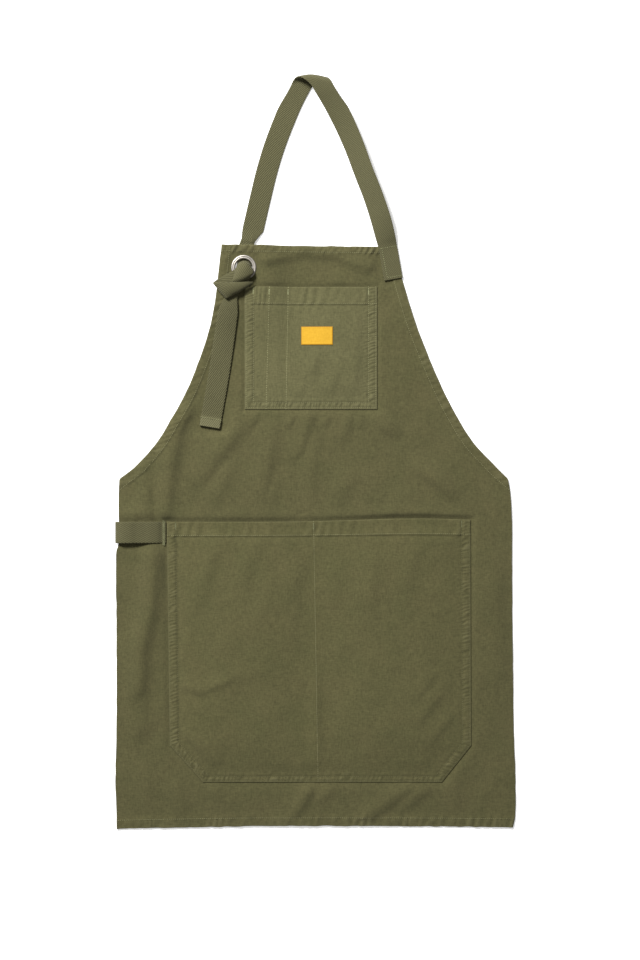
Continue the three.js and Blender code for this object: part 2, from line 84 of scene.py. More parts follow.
def puckers(along, away, size, slant, seed, even=0.0):  # ridges across a seam, leaning along it
    wander, wanderSize, wanderOut = pucker["wander"]
    vary, varySize, varyOut = pucker["vary"]
    crumple, crumpleSize, crumpleOut = pucker["crumple"]
    lean = along + slant * away + wander * size * hills(along, away * wanderOut, size * wanderSize, seed)
    patchy = hills(along, away * varyOut, size * varySize, seed + pucker["varySeed"])
    strength = np.maximum(pucker["strength"] + even + (vary - even) * patchy, pucker["least"])
    wave = np.sqrt(np.sin(np.pi * lean / size) ** 2 + pucker["roundness"])
    crumpled = crumple * hills(lean, away * crumpleOut, size * crumpleSize, seed + pucker["crumpleSeed"])
    return strength * (pucker["height"] * wave - pucker["level"]) + crumpled


def slack(x, y, seed):  # how a laid cloth wanders up and down, about 0 to 1
    cos, sin = slackness["turn"]
    across, down = cos * x - sin * y, cos * y + sin * x
    places = {"broad": (x, y), "drag": (across, down * slackness["drawnOut"]), "fine": (x, y)}
    height = slackness["middle"]
    for i, (key, place) in enumerate(places.items()):
        share, size = slackness[key]
        height = height + share * hills(*place, size, seed + i)
    return height


def outside(path, x, y):  # mm outside a convex outline, negative inside it
    away = np.full(np.broadcast(x, y).shape, -farAway)
    for (x0, y0), (x1, y1) in zip(path, path[1:] + path[:1]):
        length = math.hypot(x1 - x0, y1 - y0)
        here = ((x - x0) * (y1 - y0) - (y - y0) * (x1 - x0)) / length
        away = np.maximum(away, here)
    return away


# Panel: bib and skirt in one piece

panel = {
    "top": 309, "bottom": -563, "waist": -40, "hemRunOut": -56, "waistEase": 4,
    "thick": 1.2, "hemThick": 1.0, "sideTurn": 4,
    "topHem": 11.4, "armholeHem": 14.6, "bottomHem": 14.4, "stitchIn": 1.7,
    "topRipple": (9.0, 0.6, 0.55), "bottomRipple": (12.0, 0.75, -0.3),  # spacing, height, slant
    "leftRipple": (10.0, 0.42, -0.5), "rightRipple": (10.0, 0.22, 0.55),
    "slack": 3.2, "slackSeed": 3, "clearOfChest": 7, "clearOfLower": 9,
    "heldShare": 0.25, "foldsByLoop": 0.35,
    "edgeWander": 0.7, "sideWander": 0.3, "wanderSize": 12, "wanderSlant": 0.6, "wanderSeed": 5,
    "wanderReach": 5, "wanderWithin": 8,
    "skirtStep": 6.5, "armholeStep": 2.9, "hemStep": 2.1, "hemColumns": 6, "columns": 196, "pastHem": 2,
}
hemShape = {
    "edge": 1, "besideAt": 3, "besideReach": 7, "besideShare": 0.6, "dipReach": 1.4, "dip": 0.35,
    # hem colour: bands and rims lighten from rubbing and fading; pucker troughs and the stitch ditch get
    # painted shade
    "faded": 0.05, "rubAndShading": 0.45, "rimReach": 1.4, "rimWear": 0.6, "heldEdge": 0.2, "seed": 20,
}
leftCol, rightCol = 1, 2
armhole = np.array([  # y, left, right
    (309, -140.5, 120.8),
    (267, -145.5, 128.6),
    (231, -149.6, 138.3),
    (195, -156.5, 149.6),
    (159, -166.8, 163.1),
    (123, -180.2, 178.0),
    (87, -195.5, 194.3),
    (51, -215.3, 213.3),
    (15, -237.5, 236.3),
    (-21, -269.4, 269.7),
    (-40, -294.0, 289.0),
])
side = np.array([  # y, left, right
    (-40, -294.0, 289.0),
    (-66, -295.3, 292.8),
    (-120, -294.6, 294.9),
    (-138, -295.0, 294.8),
    (-147, -298.4, 294.7),
    (-165, -299.3, 294.6),
    (-260, -298.4, 295.4),
    (-420, -298.4, 297.6),
    (-486, -300.0, 299.7),
    (-545, -298.4, 299.6),
    (-563, -298.0, 296.0),
])
foldShape = {"lightSlope": 0.7, "longReach": 1.7, "dieOut": 0.9}
folds = [  # x0, y0, x1, y1, reach, height
    (-166, 64, -190, 58, 7, 3.4),
    (-190, 58, -206, 38, 9, 4.6),
    (-206, 38, -217, -18, 12, 6.0),
    (-217, -18, -222, -60, 11, 5.4),
    (-222, -60, -224, -96, 10, 4.4),
    (-256, -26, -252, -90, 10, 3.8),
    (-252, -90, -246, -122, 11, 5.4),
    (-246, -122, -243, -165, 12, 7.0),
    (-243, -165, -247, -237, 12, 7.4),
    (-247, -237, -262, -297, 12, 7.4),
    (-262, -297, -264, -357, 12, 6.8),
    (-264, -357, -262, -410, 13, 4.0),
    (-8, -505, -28, -540, 8, 3.6),
    (138, -505, 80, -545, 9, 3.6),
    (-72, 287, -20, 299, 8, 3.6),
    (-20, 299, 32, 295, 8, 3.8),
    (32, 295, 76, 277, 8, 3.4),
    (-10, 52, -24, 3, 9, 2.6),
    (268, -160, 272, -330, 15, 2.4),
]
drags = [  # short creases pulled by seams: x0, y0, x1, y1, reach, height
    (-96, 62, -182, -50, 14, 4.4),
    (-64, 48, -82, -88, 11, 3.6),
    (52, 58, 38, 12, 8, 2.2),
    (-4, 24, -6, -92, 9, 2.0),
    (140, -10, 216, -72, 10, 5.4),
    (84, 56, 128, 22, 9, 3.4),
    (20, 58, 14, 36, 5, 1.8),
    (70, 58, 66, 34, 5, 1.6),
    (-32, 58, -42, 34, 5, 1.8),
    (-84, 58, -104, 36, 6, 2.2),
    (-120, -4, -160, -92, 10, 2.2),
    (60, -20, 30, -84, 11, 2.0),
    (-60, -30, -70, -94, 9, 1.8),
    (-214, -488, -194, -554, 8, 3.0),
    (-152, -490, -146, -528, 7, 1.8),
    (34, -492, 0, -530, 7, 2.4),
    (182, -492, 122, -542, 7, 3.0),
    (206, -486, 214, -548, 8, 1.8),
    (-260, -460, -250, -540, 10, 2.0),
]
bowing = {
    "hemFade": 60, "hemDip": (-4.5, -2.0), "hemX": 300, "hemRise": 2.5,
    "mouthFade": 45, "mouthRise": 5, "mouthX": 150, "mouthReach": 120, "mouthDrop": 1.5,
    "topFade": 40, "topTilt": 1.6, "topX": 140,
}
bibCorner = {"height": 8, "flatX": -80, "endX": -30, "flatY": 240, "endY": 150}
loopEdge = {"height": 2.7, "flatX": -274, "endX": -262, "top": -96, "bottom": -138, "ramp": 26}
mouthLip = {
    "left": 0.6, "right": 1.4, "fullX": (10, 90), "endX": (200, 226),
    "gutter": 6.0, "wider": 2.2, "widestX": 150, "reach": 80, "fall": 18, "hollow": 1.25,
}
holdDown = {  # where webbing and eyelet press the cloth flat
    "tailX": -112, "tailY": 250, "tailLean": 48 / 214, "tailHalf": 17, "tailFade": 23,
    "tailEnd": (20, 34), "tailStart": (246, 258), "eyeHalf": 19, "eyeFade": 15,
    "tabX": (84, 98), "tabY": (245, 256), "loopX": (-222, -206), "loopHalf": (18, 34),
}
seamGap = 0.3


def through(table, col, y):  # smooth curve through the rows of a table
    ys, vs = table[:, 0], table[:, col]
    rows = np.arange(len(ys))
    before, after = np.maximum(rows - 1, 0), np.minimum(rows + 1, len(ys) - 1)
    slope = (vs[after] - vs[before]) / (ys[after] - ys[before])
    k = np.clip(np.searchsorted(-ys, -np.asarray(y, float), side="right") - 1, 0, len(ys) - 2)
    span = ys[k + 1] - ys[k]
    t = np.clip((y - ys[k]) / span, 0, 1)
    rise = t * t * (3 - 2 * t)
    bend = (t ** 3 - 2 * t ** 2 + t) * slope[k] + (t ** 3 - t ** 2) * slope[k + 1]
    return vs[k] + (vs[k + 1] - vs[k]) * rise + span * bend


def edgeAt(col, y):
    return np.where(y > panel["waist"], through(armhole, col, y), through(side, col, y))


def edgeLean(col, y):  # slope of the armhole, fading out where its hem meets the side
    reach = 3
    at = np.maximum(y, panel["waist"] + panel["waistEase"])
    slope = (edgeAt(col, at + reach) - edgeAt(col, at - reach)) / (2 * reach)
    return slope * ramp(y, panel["hemRunOut"], panel["waist"])


def armholeLength(col, y):  # mm along an armhole's edge
    beyond = 3.0
    ys = np.arange(panel["hemRunOut"] - panel["waistEase"], panel["top"] + beyond)
    steps = np.hypot(1, np.gradient(edgeAt(col, ys)))
    return np.interp(y, ys, np.cumsum(steps))


def fromEdges(x, y):  # mm in from the left and from the right edge
    leftIn = (x - edgeAt(leftCol, y)) / np.hypot(1, edgeLean(leftCol, y))
    rightIn = (edgeAt(rightCol, y) - x) / np.hypot(1, edgeLean(rightCol, y))
    return leftIn, rightIn


def bow(x, y):  # how far the rows of the cloth bow away from straight
    atHem = 1 - ramp(y - panel["bottom"], 0, bowing["hemFade"])
    atMouth = 1 - ramp(np.abs(y - lower["top"]), 0, bowing["mouthFade"])
    atTop = 1 - ramp(panel["top"] - y, 0, bowing["topFade"])
    hemRise = np.where(x < 0, *bowing["hemDip"]) * (x / bowing["hemX"]) ** 2 + bowing["hemRise"]
    mouthRise = bowing["mouthRise"] * bell(x - bowing["mouthX"], bowing["mouthReach"]) - bowing["mouthDrop"]
    topTilt = bowing["topTilt"] * x / bowing["topX"]
    return atHem * hemRise + atMouth * mouthRise - atTop * topTilt


def ridges(table, x, y, taper=0.0):  # folds of the cloth; with a taper they die out towards their ends
    height = np.zeros(np.broadcast(x, y).shape)
    for x0, y0, x1, y1, reach, rise in table:
        dx, dy = x1 - x0, y1 - y0
        t = np.clip(((x - x0) * dx + (y - y0) * dy) / (dx * dx + dy * dy), 0, 1)
        away = np.hypot(x - x0 - t * dx, y - y0 - t * dy)
        turn = 1 if dx + foldShape["lightSlope"] * dy > 0 else -1
        longSide = ((y - y0) * dx - (x - x0) * dy) * turn > 0  # the long slope lies up and to the left
        width = np.where(longSide, foldShape["longReach"] * reach, reach)
        ends = 1 - taper * (2 * t - 1) ** 2
        height = np.maximum(height, rise * ends * bell(away, width))
    return height


def liftAt(x, y):  # bib corner over the strap, side edge over the loop's end
    corner = bibCorner["height"] * (1 - ramp(x, bibCorner["flatX"], bibCorner["endX"]))
    corner = corner * ramp(y, bibCorner["endY"], bibCorner["flatY"])
    edge = loopEdge["height"] * (1 - ramp(x, loopEdge["flatX"], loopEdge["endX"]))
    edge = edge * (1 - ramp(y, loopEdge["top"], loopEdge["top"] + loopEdge["ramp"]))
    return corner + edge * ramp(y, loopEdge["bottom"] - loopEdge["ramp"], loopEdge["bottom"])


def lipAt(x, y):  # cloth standing up behind the lower pocket's mouth, highest towards the right
    over = y - lower["top"]
    height = mouthLip["left"] + (mouthLip["right"] - mouthLip["left"]) * ramp(x, *mouthLip["fullX"])
    height = height * (1 - ramp(x, *mouthLip["endX"]))
    crest = mouthLip["gutter"] + mouthLip["wider"] * bell(x - mouthLip["widestX"], mouthLip["reach"])
    rise = np.clip((over - seamGap) / (crest - seamGap), 0, 1)
    return height * rise ** mouthLip["hollow"] * (1 - ramp(over, crest, crest + mouthLip["fall"]))


def hemBands(x, y):  # per hem: mm in from its edge, mm along it, width, ripple, share of a full hem
    leftIn, rightIn = fromEdges(x, y)
    onArm = ramp(y, panel["hemRunOut"], panel["waist"] - panel["waistEase"])
    return [
        (panel["top"] - y, x, panel["topHem"], panel["topRipple"], 1.0),
        (y - panel["bottom"], x, panel["bottomHem"], panel["bottomRipple"], 1.0),
        (leftIn, armholeLength(leftCol, y), panel["armholeHem"], panel["leftRipple"], onArm),
        (rightIn, armholeLength(rightCol, y), panel["armholeHem"], panel["rightRipple"], onArm),
    ]


def pressed(x, y, wide=1, byLoop=1):  # 0 where the cloth is held flat, 1 where it lies free
    def within(away, half, fade):
        return 1 - ramp(away, half, half + fade * wide)

    tailX = holdDown["tailX"] + (y - holdDown["tailY"]) * holdDown["tailLean"]
    onTail = within(np.abs(x - tailX), holdDown["tailHalf"], holdDown["tailFade"])
    onTail = onTail * ramp(y, *holdDown["tailEnd"]) * (1 - ramp(y, *holdDown["tailStart"]))
    onEye = within(np.hypot(x - eyelet["x"], y - eyelet["y"]), holdDown["eyeHalf"], holdDown["eyeFade"])
    onTab = ramp(x, *holdDown["tabX"]) * ramp(y, *holdDown["tabY"])
    onLoop = byLoop * (1 - ramp(x, *holdDown["loopX"]))
    onLoop = onLoop * (1 - ramp(np.abs(y - towelLoop["y"]), *holdDown["loopHalf"]))
    return 1 - np.maximum(np.maximum(onTail, onEye), np.maximum(onTab, onLoop))


def partlyFree(x, y, wide=1):  # pressed cloth keeps a share of its slack
    return panel["heldShare"] + (1 - panel["heldShare"]) * pressed(x, y, wide)


def panelLow(x, y):  # back of the panel
    clear = ramp(outside(chest["path"], x, y), 0, panel["clearOfChest"])
    clear = clear * ramp(outside(lower["path"], x, y), 0, panel["clearOfLower"])
    loose = panel["slack"] * np.clip(slack(x, y, panel["slackSeed"]), 0, 1) * partlyFree(x, y)
    crease = np.maximum(ridges(folds, x, y), ridges(drags, x, y, foldShape["dieOut"]))
    crease = crease * pressed(x, y, 1, panel["foldsByLoop"])
    return liftAt(x, y) + (crease + loose) * clear + lipAt(x, y)


def panelRelief(x, y):  # what the hems add to the front, and its colour: lighter from rubbing and fading, with painted shade in the stitch ditches and the pucker troughs
    rise = np.zeros(np.broadcast(x, y).shape)
    wear = np.zeros_like(rise)
    free = partlyFree(x, y, hemShape["heldEdge"])
    for i, (inward, along, width, (size, height, slant), share) in enumerate(hemBands(x, y)):
        band = share * (1 - ramp(inward, width - hemShape["edge"], width + hemShape["edge"]))
        ripple = puckers(along, inward, size, slant, hemShape["seed"] + i)
        beside = share * bell(inward - width - hemShape["besideAt"], hemShape["besideReach"])
        dip = hemShape["dip"] * share * bell(inward - width + panel["stitchIn"], hemShape["dipReach"])
        rise = np.maximum(rise, panel["hemThick"] * band)
        rise = rise + height * ripple * (band + hemShape["besideShare"] * beside) * free - dip
        # painted shade: the stitch ditch and the ripple troughs darken the colour, while the crests lighten
        # from rubbing
        wear = wear + band * (hemShape["faded"] + hemShape["rubAndShading"] * ripple * free) - dip
        wear = wear + share * bell(inward, hemShape["rimReach"]) * (hemShape["rimWear"] - wear)
    return rise, np.clip(wear, -1, 1)


def panelFront(x, y):
    return panelLow(x, y) + panel["thick"] + panelRelief(x, y)[0]


# Pockets lie on the panel, each compartment swelling between its seams

chest = {
    "outline": [(247.5, -106.2, 92.6), (64, -106.2, 92.6)],  # y, left, right
    "hem": 26.4, "mouthShare": 0.7,
    "seams": [(-68.9, -74.1), (-40.8, -44.3)],  # x at the top and at the bottom
    "lofts": [(0.8, 0.5, 0.5), (0.8, 0.5, 0.5), (3.0, 0.42, 0.55)],  # height, full from, full to
    "sideSeams": (2.3, 13.2), "bottomSeams": (2.3, 9.7), "seamTack": (4, 11), "cornerTack": (2, 11),
    "bandRise": 0.7, "puckerHeight": 0.52, "puckerSize": 5.0, "hemPucker": 0.5, "slack": 1.8,
    "slackSeed": 31, "puckerSeed": 41, "rowStep": 1.25, "columnStep": 1.25,
    "drags": [  # x0, y0, x1, y1, reach, height
        (6, 156, -12, 106, 7, 1.8),
        (32, 124, 20, 86, 7, 1.3),
        (-18, 106, -26, 76, 6, 1.2),
        (62, 150, 54, 84, 8, 1.2),
    ],
    "creases": [],
}
lower = {
    "outline": [(-103, -222.9, 232.4), (-440, -218.4, 233.4), (-495, -168.9, 189.5)],  # y, left, right
    "hem": 22.5, "mouthShare": 0.7,
    "seams": [(-2.9, 3.8)],  # x at the top and at the bottom
    "lofts": [(4.4, 0.4, 0.6), (4.4, 0.4, 0.6)],  # height, full from, full to
    "sideSeams": (2.3, 13.2), "bottomSeams": (2.3, 8.4), "seamTack": (3.5, 12), "cornerTack": (2, 11),
    "bandRise": 0.7, "puckerHeight": 0.46, "puckerSize": 5.2, "hemPucker": 0.6, "slack": 3.4,
    "slackSeed": 61, "puckerSeed": 71, "rowStep": 1.5, "columnStep": 2.75,
    "drags": [  # x0, y0, x1, y1, reach, height
        (-152, -135, -190, -260, 12, 2.6),
        (-92, -130, -114, -232, 13, 2.0),
        (0, -320, 4, -475, 7, 2.6),
        (194, -350, 146, -412, 8, 1.7),
        (208, -386, 166, -440, 7, 1.4),
        (182, -322, 146, -376, 8, 1.4),
        (-60, -150, -84, -262, 12, 1.4),
        (36, -150, 22, -236, 11, 1.3),
        (150, -136, 132, -228, 10, 1.6),
        (-190, -262, -206, -330, 8, 1.6),
        (-202, -410, -144, -470, 9, 2.0),
        (88, -140, 76, -240, 12, 2.0),
        (-30, -150, -40, -300, 14, 1.8),
    ],
    "creases": [
        (-210, -346, -173, -359, 7, 1.8),
        (-173, -359, -126, -339, 7, 2.0),
        (-126, -339, -84, -331, 10, 1.0),
    ],
}
for pocket in (chest, lower):  # its path runs from the mouth's left end round the bottom to its right end
    pocket["top"], pocket["bottom"] = pocket["outline"][0][0], pocket["outline"][-1][0]
    pocket["path"] = [(left, y) for y, left, right in pocket["outline"]]
    pocket["path"] += [(right, y) for y, left, right in pocket["outline"][::-1]]
pocketForm = {
    "swellFrom": 0.02, "swellTo": 0.98, "mouthFade": 70, "bottomFade": (6, 80), "slackFrom": (8, 34),
}
bandShape = {  # a pocket's sewn band; values named bottom work along its bottom side
    "bottomCorner": (0.5, 4), "bottomSize": 0.35, "slant": 0.3, "bottomSlant": -0.6, "even": 0.35,
    "innerEdge": 1, "outerEdge": 1.5, "thinEdge": (-1, 6), "bottomRise": -0.85, "puff": 0.25,
    "besideAt": 3, "besideReach": 8, "besideShare": 0.3,
    "bulgeAt": 3.5, "bulgeReach": 3, "bulge": 0.12, "bottomBulge": 0.14,
    "outerDip": 0.4, "outerReach": 1.2, "innerDip": 1.4, "bottomDip": -0.4, "innerReach": 1.7,
    # dip, rubbing and rim values also set the colour: painted shade in the ditches and troughs, painted
    # light on rims in shade
    "dip": 0.35, "ditchShade": 0.28, "rubAndShading": 0.5, "deepest": -0.4,
    "rimReach": 1.3, "rimWear": 0.32, "shadedRimLight": 0.3, "shadedX": (-20, 60),
}
mouthShape = {  # the hem of a pocket's mouth
    "innerEdge": 0.6, "outerEdge": 1.4, "size": 3.0, "slant": 0.2, "seedStep": 7, "share": 0.8,
    "besideAt": 4, "besideReach": 8, "besideShare": 0.4, "dipAt": 1.2, "dipReach": 1.5,
    # the mouth's dip also paints shade under the hem; its rubbing value darkens ripple troughs with painted
    # shade
    "dip": 0.2, "ditchShade": 0.18, "rubAndShading": 0.25, "kept": 0.05, "rimReach": 1.5, "rimShare": 0.45,
}


def sidesAt(pocket, y):  # x of a pocket's left and right side
    ys, lefts, rights = zip(*pocket["outline"][::-1])
    return np.interp(y, ys, lefts), np.interp(y, ys, rights)


def lineAt(ends, y, pocket):  # x of a seam that runs from a pocket's mouth to its bottom
    up = np.clip((y - pocket["bottom"]) / (pocket["top"] - pocket["bottom"]), 0, 1)
    return ends[1] + (ends[0] - ends[1]) * up


def swelling(pocket, x, y):  # settles towards the mouth and dies at the seams
    left, right = sidesAt(pocket, y)
    seams = [left] + [lineAt(ends, y, pocket) for ends in pocket["seams"]] + [right]
    height = 0
    for start, end, (loft, rise, fall) in zip(seams, seams[1:], pocket["lofts"]):
        share = (x - start) / (end - start)
        swell = ramp(share, pocketForm["swellFrom"], rise) * (1 - ramp(share, fall, pocketForm["swellTo"]))
        height = height + loft * swell
    mouth = 1 - (1 - pocket["mouthShare"]) * ramp(y, pocket["top"] - pocketForm["mouthFade"], pocket["top"])
    start, end = pocketForm["bottomFade"]
    return height * (mouth * ramp(y, pocket["bottom"] + start, pocket["bottom"] + end))


def seamOf(path, x, y):  # mm inside the nearest sewn side, and mm along it
    inward = np.full(np.broadcast(x, y).shape, farAway)
    along = np.zeros_like(inward)
    gone = 0.0
    for (x0, y0), (x1, y1) in zip(path, path[1:]):
        length = math.hypot(x1 - x0, y1 - y0)
        here = ((y - y0) * (x1 - x0) - (x - x0) * (y1 - y0)) / length
        run = ((x - x0) * (x1 - x0) + (y - y0) * (y1 - y0)) / length
        along = np.where(here < inward, gone + run, along)
        inward = np.minimum(inward, here)
        gone += length
    return inward, along


def mouthRelief(pocket, x, y):  # hem of the mouth: its share here, ripple, ditch, height and lighter rim; the ditch also paints the shadow under the hem
    fromMouth = pocket["top"] - y
    over = fromMouth - pocket["hem"]
    hem = 1 - ramp(over, -mouthShape["innerEdge"], mouthShape["outerEdge"])
    size, seed = pocket["puckerSize"] * mouthShape["size"], pocket["puckerSeed"] + mouthShape["seedStep"]
    ripple = puckers(x, fromMouth, size, mouthShape["slant"], seed)
    beside = mouthShape["besideShare"] * bell(over - mouthShape["besideAt"], mouthShape["besideReach"])
    dip = bell(over - mouthShape["dipAt"], mouthShape["dipReach"])
    height = pocket["hemPucker"] * ripple * (beside + hem * mouthShape["share"]) - mouthShape["dip"] * dip
    rim = mouthShape["rimShare"] * bell(fromMouth, mouthShape["rimReach"])
    return hem, ripple, dip, height, rim


def pocketRelief(pocket, x, y):  # hem, seam band and puckers on a pocket's front, and its colour: lighter from rubbing and fading, painted shade in seam ditches, under the mouth hem and in pucker troughs, painted light on rims in shade
    inward, along = seamOf(pocket["path"], x, y)
    outer, inner = pocket["sideSeams"]
    onBottom = 1 - ramp(y - pocket["bottom"] - inward, *bandShape["bottomCorner"])

    def part(key, onBottomKey):
        return bandShape[key] + bandShape[onBottomKey] * onBottom

    inner = inner + (pocket["bottomSeams"][1] - inner) * onBottom
    size = pocket["puckerSize"] * (1 + bandShape["bottomSize"] * onBottom)
    slant = part("slant", "bottomSlant")
    ripple = puckers(along, inward, size, slant, pocket["puckerSeed"], bandShape["even"])
    inside = inward - inner
    band = 1 - ramp(inward, inner - bandShape["innerEdge"], inner + bandShape["outerEdge"])
    puff = np.sin(np.pi * np.clip((inward - outer) / (inner - outer), 0, 1))
    beside = bandShape["besideShare"] * bell(inside - bandShape["besideAt"], bandShape["besideReach"])
    dips = bandShape["outerDip"] * bell(inward - outer, bandShape["outerReach"])
    dips = dips + part("innerDip", "bottomDip") * bell(inside, bandShape["innerReach"])
    bulge = part("bulge", "bottomBulge") * bell(inside - bandShape["bulgeAt"], bandShape["bulgeReach"])
    hem, hemRipple, hemDip, hemHeight, hemRim = mouthRelief(pocket, x, y)
    doubled = pocket["bandRise"] * np.maximum((1 + bandShape["bottomRise"] * onBottom) * band, hem)
    rise = doubled * ramp(inward, *bandShape["thinEdge"]) + bandShape["puff"] * puff * band + bulge
    rise = rise + pocket["puckerHeight"] * ripple * (puff * band + beside) + hemHeight
    rise = rise - bandShape["dip"] * dips
    # crests lighter from rubbing, troughs darker with painted shade
    wear = np.maximum(band, beside) * bandShape["rubAndShading"] * ripple
    wear = wear + (1 - band) * hem * (mouthShape["rubAndShading"] * hemRipple - mouthShape["kept"])
    # painted shade in the seam ditches and in the shadow under the mouth hem
    wear = wear - bandShape["ditchShade"] * dips - mouthShape["ditchShade"] * hemDip
    rim = np.maximum(bell(inward, bandShape["rimReach"]), hemRim)
    shaded = np.maximum(onBottom, ramp(x, *bandShape["shadedX"]))  # these edges turn away from the light, so their rims get painted light
    wear = wear + rim * (bandShape["rimWear"] + bandShape["shadedRimLight"] * shaded - wear)
    return np.maximum(rise, bandShape["deepest"]), np.clip(wear, -1, 1)


def pocketLow(pocket, x, y):
    crease = np.maximum(ridges(pocket["drags"], x, y, foldShape["dieOut"]), ridges(pocket["creases"], x, y))
    loose = pocket["slack"] * np.clip(slack(x, y, pocket["slackSeed"]), 0, 1) + crease
    loose = loose * ramp(-outside(pocket["path"], x, y), *pocketForm["slackFrom"])
    return liftAt(x, y) + panel["thick"] + seamGap + swelling(pocket, x, y) + loose


def pocketFront(pocket, x, y):
    return pocketLow(pocket, x, y) + panel["thick"] + pocketRelief(pocket, x, y)[0]


# Meshes

def meshPiece(name, points, faces, material, uv=None, values=None):
    mesh = bpy.data.meshes.new(name)
    mesh.from_pydata(np.asarray(points) * mm, [], faces)
    mesh.polygons.foreach_set("use_smooth", np.ones(len(mesh.polygons), bool))
    for key, value in (values or {}).items():
        layer = mesh.attributes.new(key, "FLOAT", "POINT")
        layer.data.foreach_set("value", np.asarray(value, np.float32))
    if uv is not None:
        corner = np.zeros(len(mesh.loops), np.int32)
        mesh.loops.foreach_get("vertex_index", corner)
        layer = mesh.uv_layers.new(name="cloth")
        layer.data.foreach_set("uv", np.asarray(uv, np.float32)[corner].ravel())
    mesh.materials.append(material)
    mesh.update()
    return placed(name, mesh)


def placed(name, mesh):
    piece = bpy.data.objects.new(name, mesh)
    bpy.context.scene.collection.objects.link(piece)
    return piece


edgeRadius = 1.1
rimCuts = np.array([0, 0.12, 0.4, 0.85, 1.5])  # mm in from a folded edge
mouthRows = np.array([-1.5, 0.3, 1.5, 3.2, 5.0, 6.6, 8.2, 12])  # panel rows by the lower pocket's mouth
pocketRows = {"hem": np.array([-1.8, -0.8, 0, 0.6, 1.5]), "seam": np.array([-1, 0, 1.5])}
pocketColumns = {"band": 7, "spared": 12}


def roundEdge(inward, radius):  # share of the full thickness near a folded edge
    return np.sqrt(np.clip(1 - (1 - np.clip(inward / radius, 0, 1)) ** 2, 0, 1))


def closedSheet(x, y, low, high, inward, hole=None):
    # front and back of a grid that meet at its edge; hole marks the cells left out
    rows, columns = x.shape
    middle, half = (low + high) / 2, (high - low) / 2
    half = half * roundEdge(inward, edgeRadius)
    rim = np.zeros((rows, columns), bool)
    rim[[0, -1], :] = True
    rim[:, [0, -1]] = True
    half[rim] = 0
    frontAt = np.arange(rows * columns).reshape(rows, columns)
    backAt = frontAt.copy()
    backAt[~rim] = rows * columns + np.arange((~rim).sum())
    front = np.stack([x, y, middle + half], -1).reshape(-1, 3)
    back = np.stack([x, y, middle - half], -1)[~rim]
    keep = np.ones((rows - 1, columns - 1), bool) if hole is None else ~hole

    def quads(at):
        return np.stack([at[:-1, :-1], at[:-1, 1:], at[1:, 1:], at[1:, :-1]], -1)[keep]

    faces = [quads(frontAt), quads(backAt)[:, ::-1]]
    if hole is not None:
        faces.append(holeWall(frontAt, backAt, hole))
    source = np.concatenate([np.arange(rows * columns), frontAt[~rim]])
    return np.concatenate([front, back]), np.concatenate(faces).tolist(), source


def holeWall(frontAt, backAt, hole):  # joins front and back round the cells that are left out
    wall = []
    for r, c in np.argwhere(hole):
        ring = [(r, c), (r, c + 1), (r + 1, c + 1), (r + 1, c)]
        beyond = [(r - 1, c), (r, c + 1), (r + 1, c), (r, c - 1)]
        for a, b, cell in zip(ring, ring[1:] + ring[:1], beyond):
            if not hole[cell]:
                wall.append((frontAt[a], frontAt[b], backAt[b], backAt[a]))
    return np.array(wall)


def levels(start, end, step):
    return np.linspace(start, end, max(2, round(abs(end - start) / step) + 1))


def rimmed(start, end, step, rim=rimCuts):  # places from edge to edge, closest at both edges
    inside = levels(start + rim[-1], end - rim[-1], step)
    return np.concatenate([start + rim[:-1], inside, end - rim[-2::-1]])


def gridOf(rows, ys):
    x = np.array(rows)
    return x, np.repeat(ys[:, None], x.shape[1], 1)


def withCuts(values, cuts):  # a row of places with some of them set exactly
    nearest = 0.7
    apart = np.abs(values[:, None] - cuts[None]).min(1)
    return np.sort(np.concatenate([values[apart > nearest], cuts]))


def panelGrid():
    top, bottom = panel["top"], panel["bottom"]
    overHem = bottom + panel["bottomHem"] + panel["pastHem"]
    underHem = top - panel["topHem"] - panel["pastHem"]
    ys = np.concatenate([
        bottom + rimCuts[:-1],
        levels(bottom + rimCuts[-1], overHem, panel["hemStep"]),
        levels(overHem, panel["hemRunOut"], panel["skirtStep"])[1:],
        levels(panel["hemRunOut"], underHem, panel["armholeStep"])[1:],
        levels(underHem, top - rimCuts[-1], panel["hemStep"])[1:],
        top - rimCuts[-2::-1],
    ])
    ys = withCuts(ys, lower["top"] + mouthRows)
    rows = []
    for y in ys:
        parts = []
        for col, turn in ((leftCol, 1), (rightCol, -1)):
            stretch = float(np.hypot(1, edgeLean(col, y)))
            onArm = float(ramp(y, panel["hemRunOut"], panel["waist"]))
            width = panel["sideTurn"] + (panel["armholeHem"] - panel["sideTurn"]) * onArm
            hem = np.linspace(rimCuts[-1], width - hemShape["edge"], panel["hemColumns"])[1:]
            band = np.concatenate([rimCuts, hem, [width, width + hemShape["edge"]]])
            parts.append(float(edgeAt(col, y)) + turn * band * stretch)
        left, right = parts[0], parts[1][::-1]
        middle = np.linspace(left[-1], right[0], panel["columns"] + 2)[1:-1]
        rows.append(np.concatenate([left, middle, right]))
    return gridOf(rows, ys)


def eyeletCells(x, y):  # the cells left out for the eyelet, and how their border is pulled to a circle
    away = np.hypot(x - eyelet["x"], y - eyelet["y"])
    hole = (away[:-1, :-1] + away[1:, 1:]) / 2 < eyelet["hole"] - eyelet["cellSlack"]
    corner = np.zeros(x.shape, bool)
    for dr in (0, 1):
        for dc in (0, 1):
            corner[dr:dr + hole.shape[0], dc:dc + hole.shape[1]] |= hole
    return hole, np.where(corner & (away > eyelet["pullFrom"]), eyelet["hole"] / np.maximum(away, 1), 1)


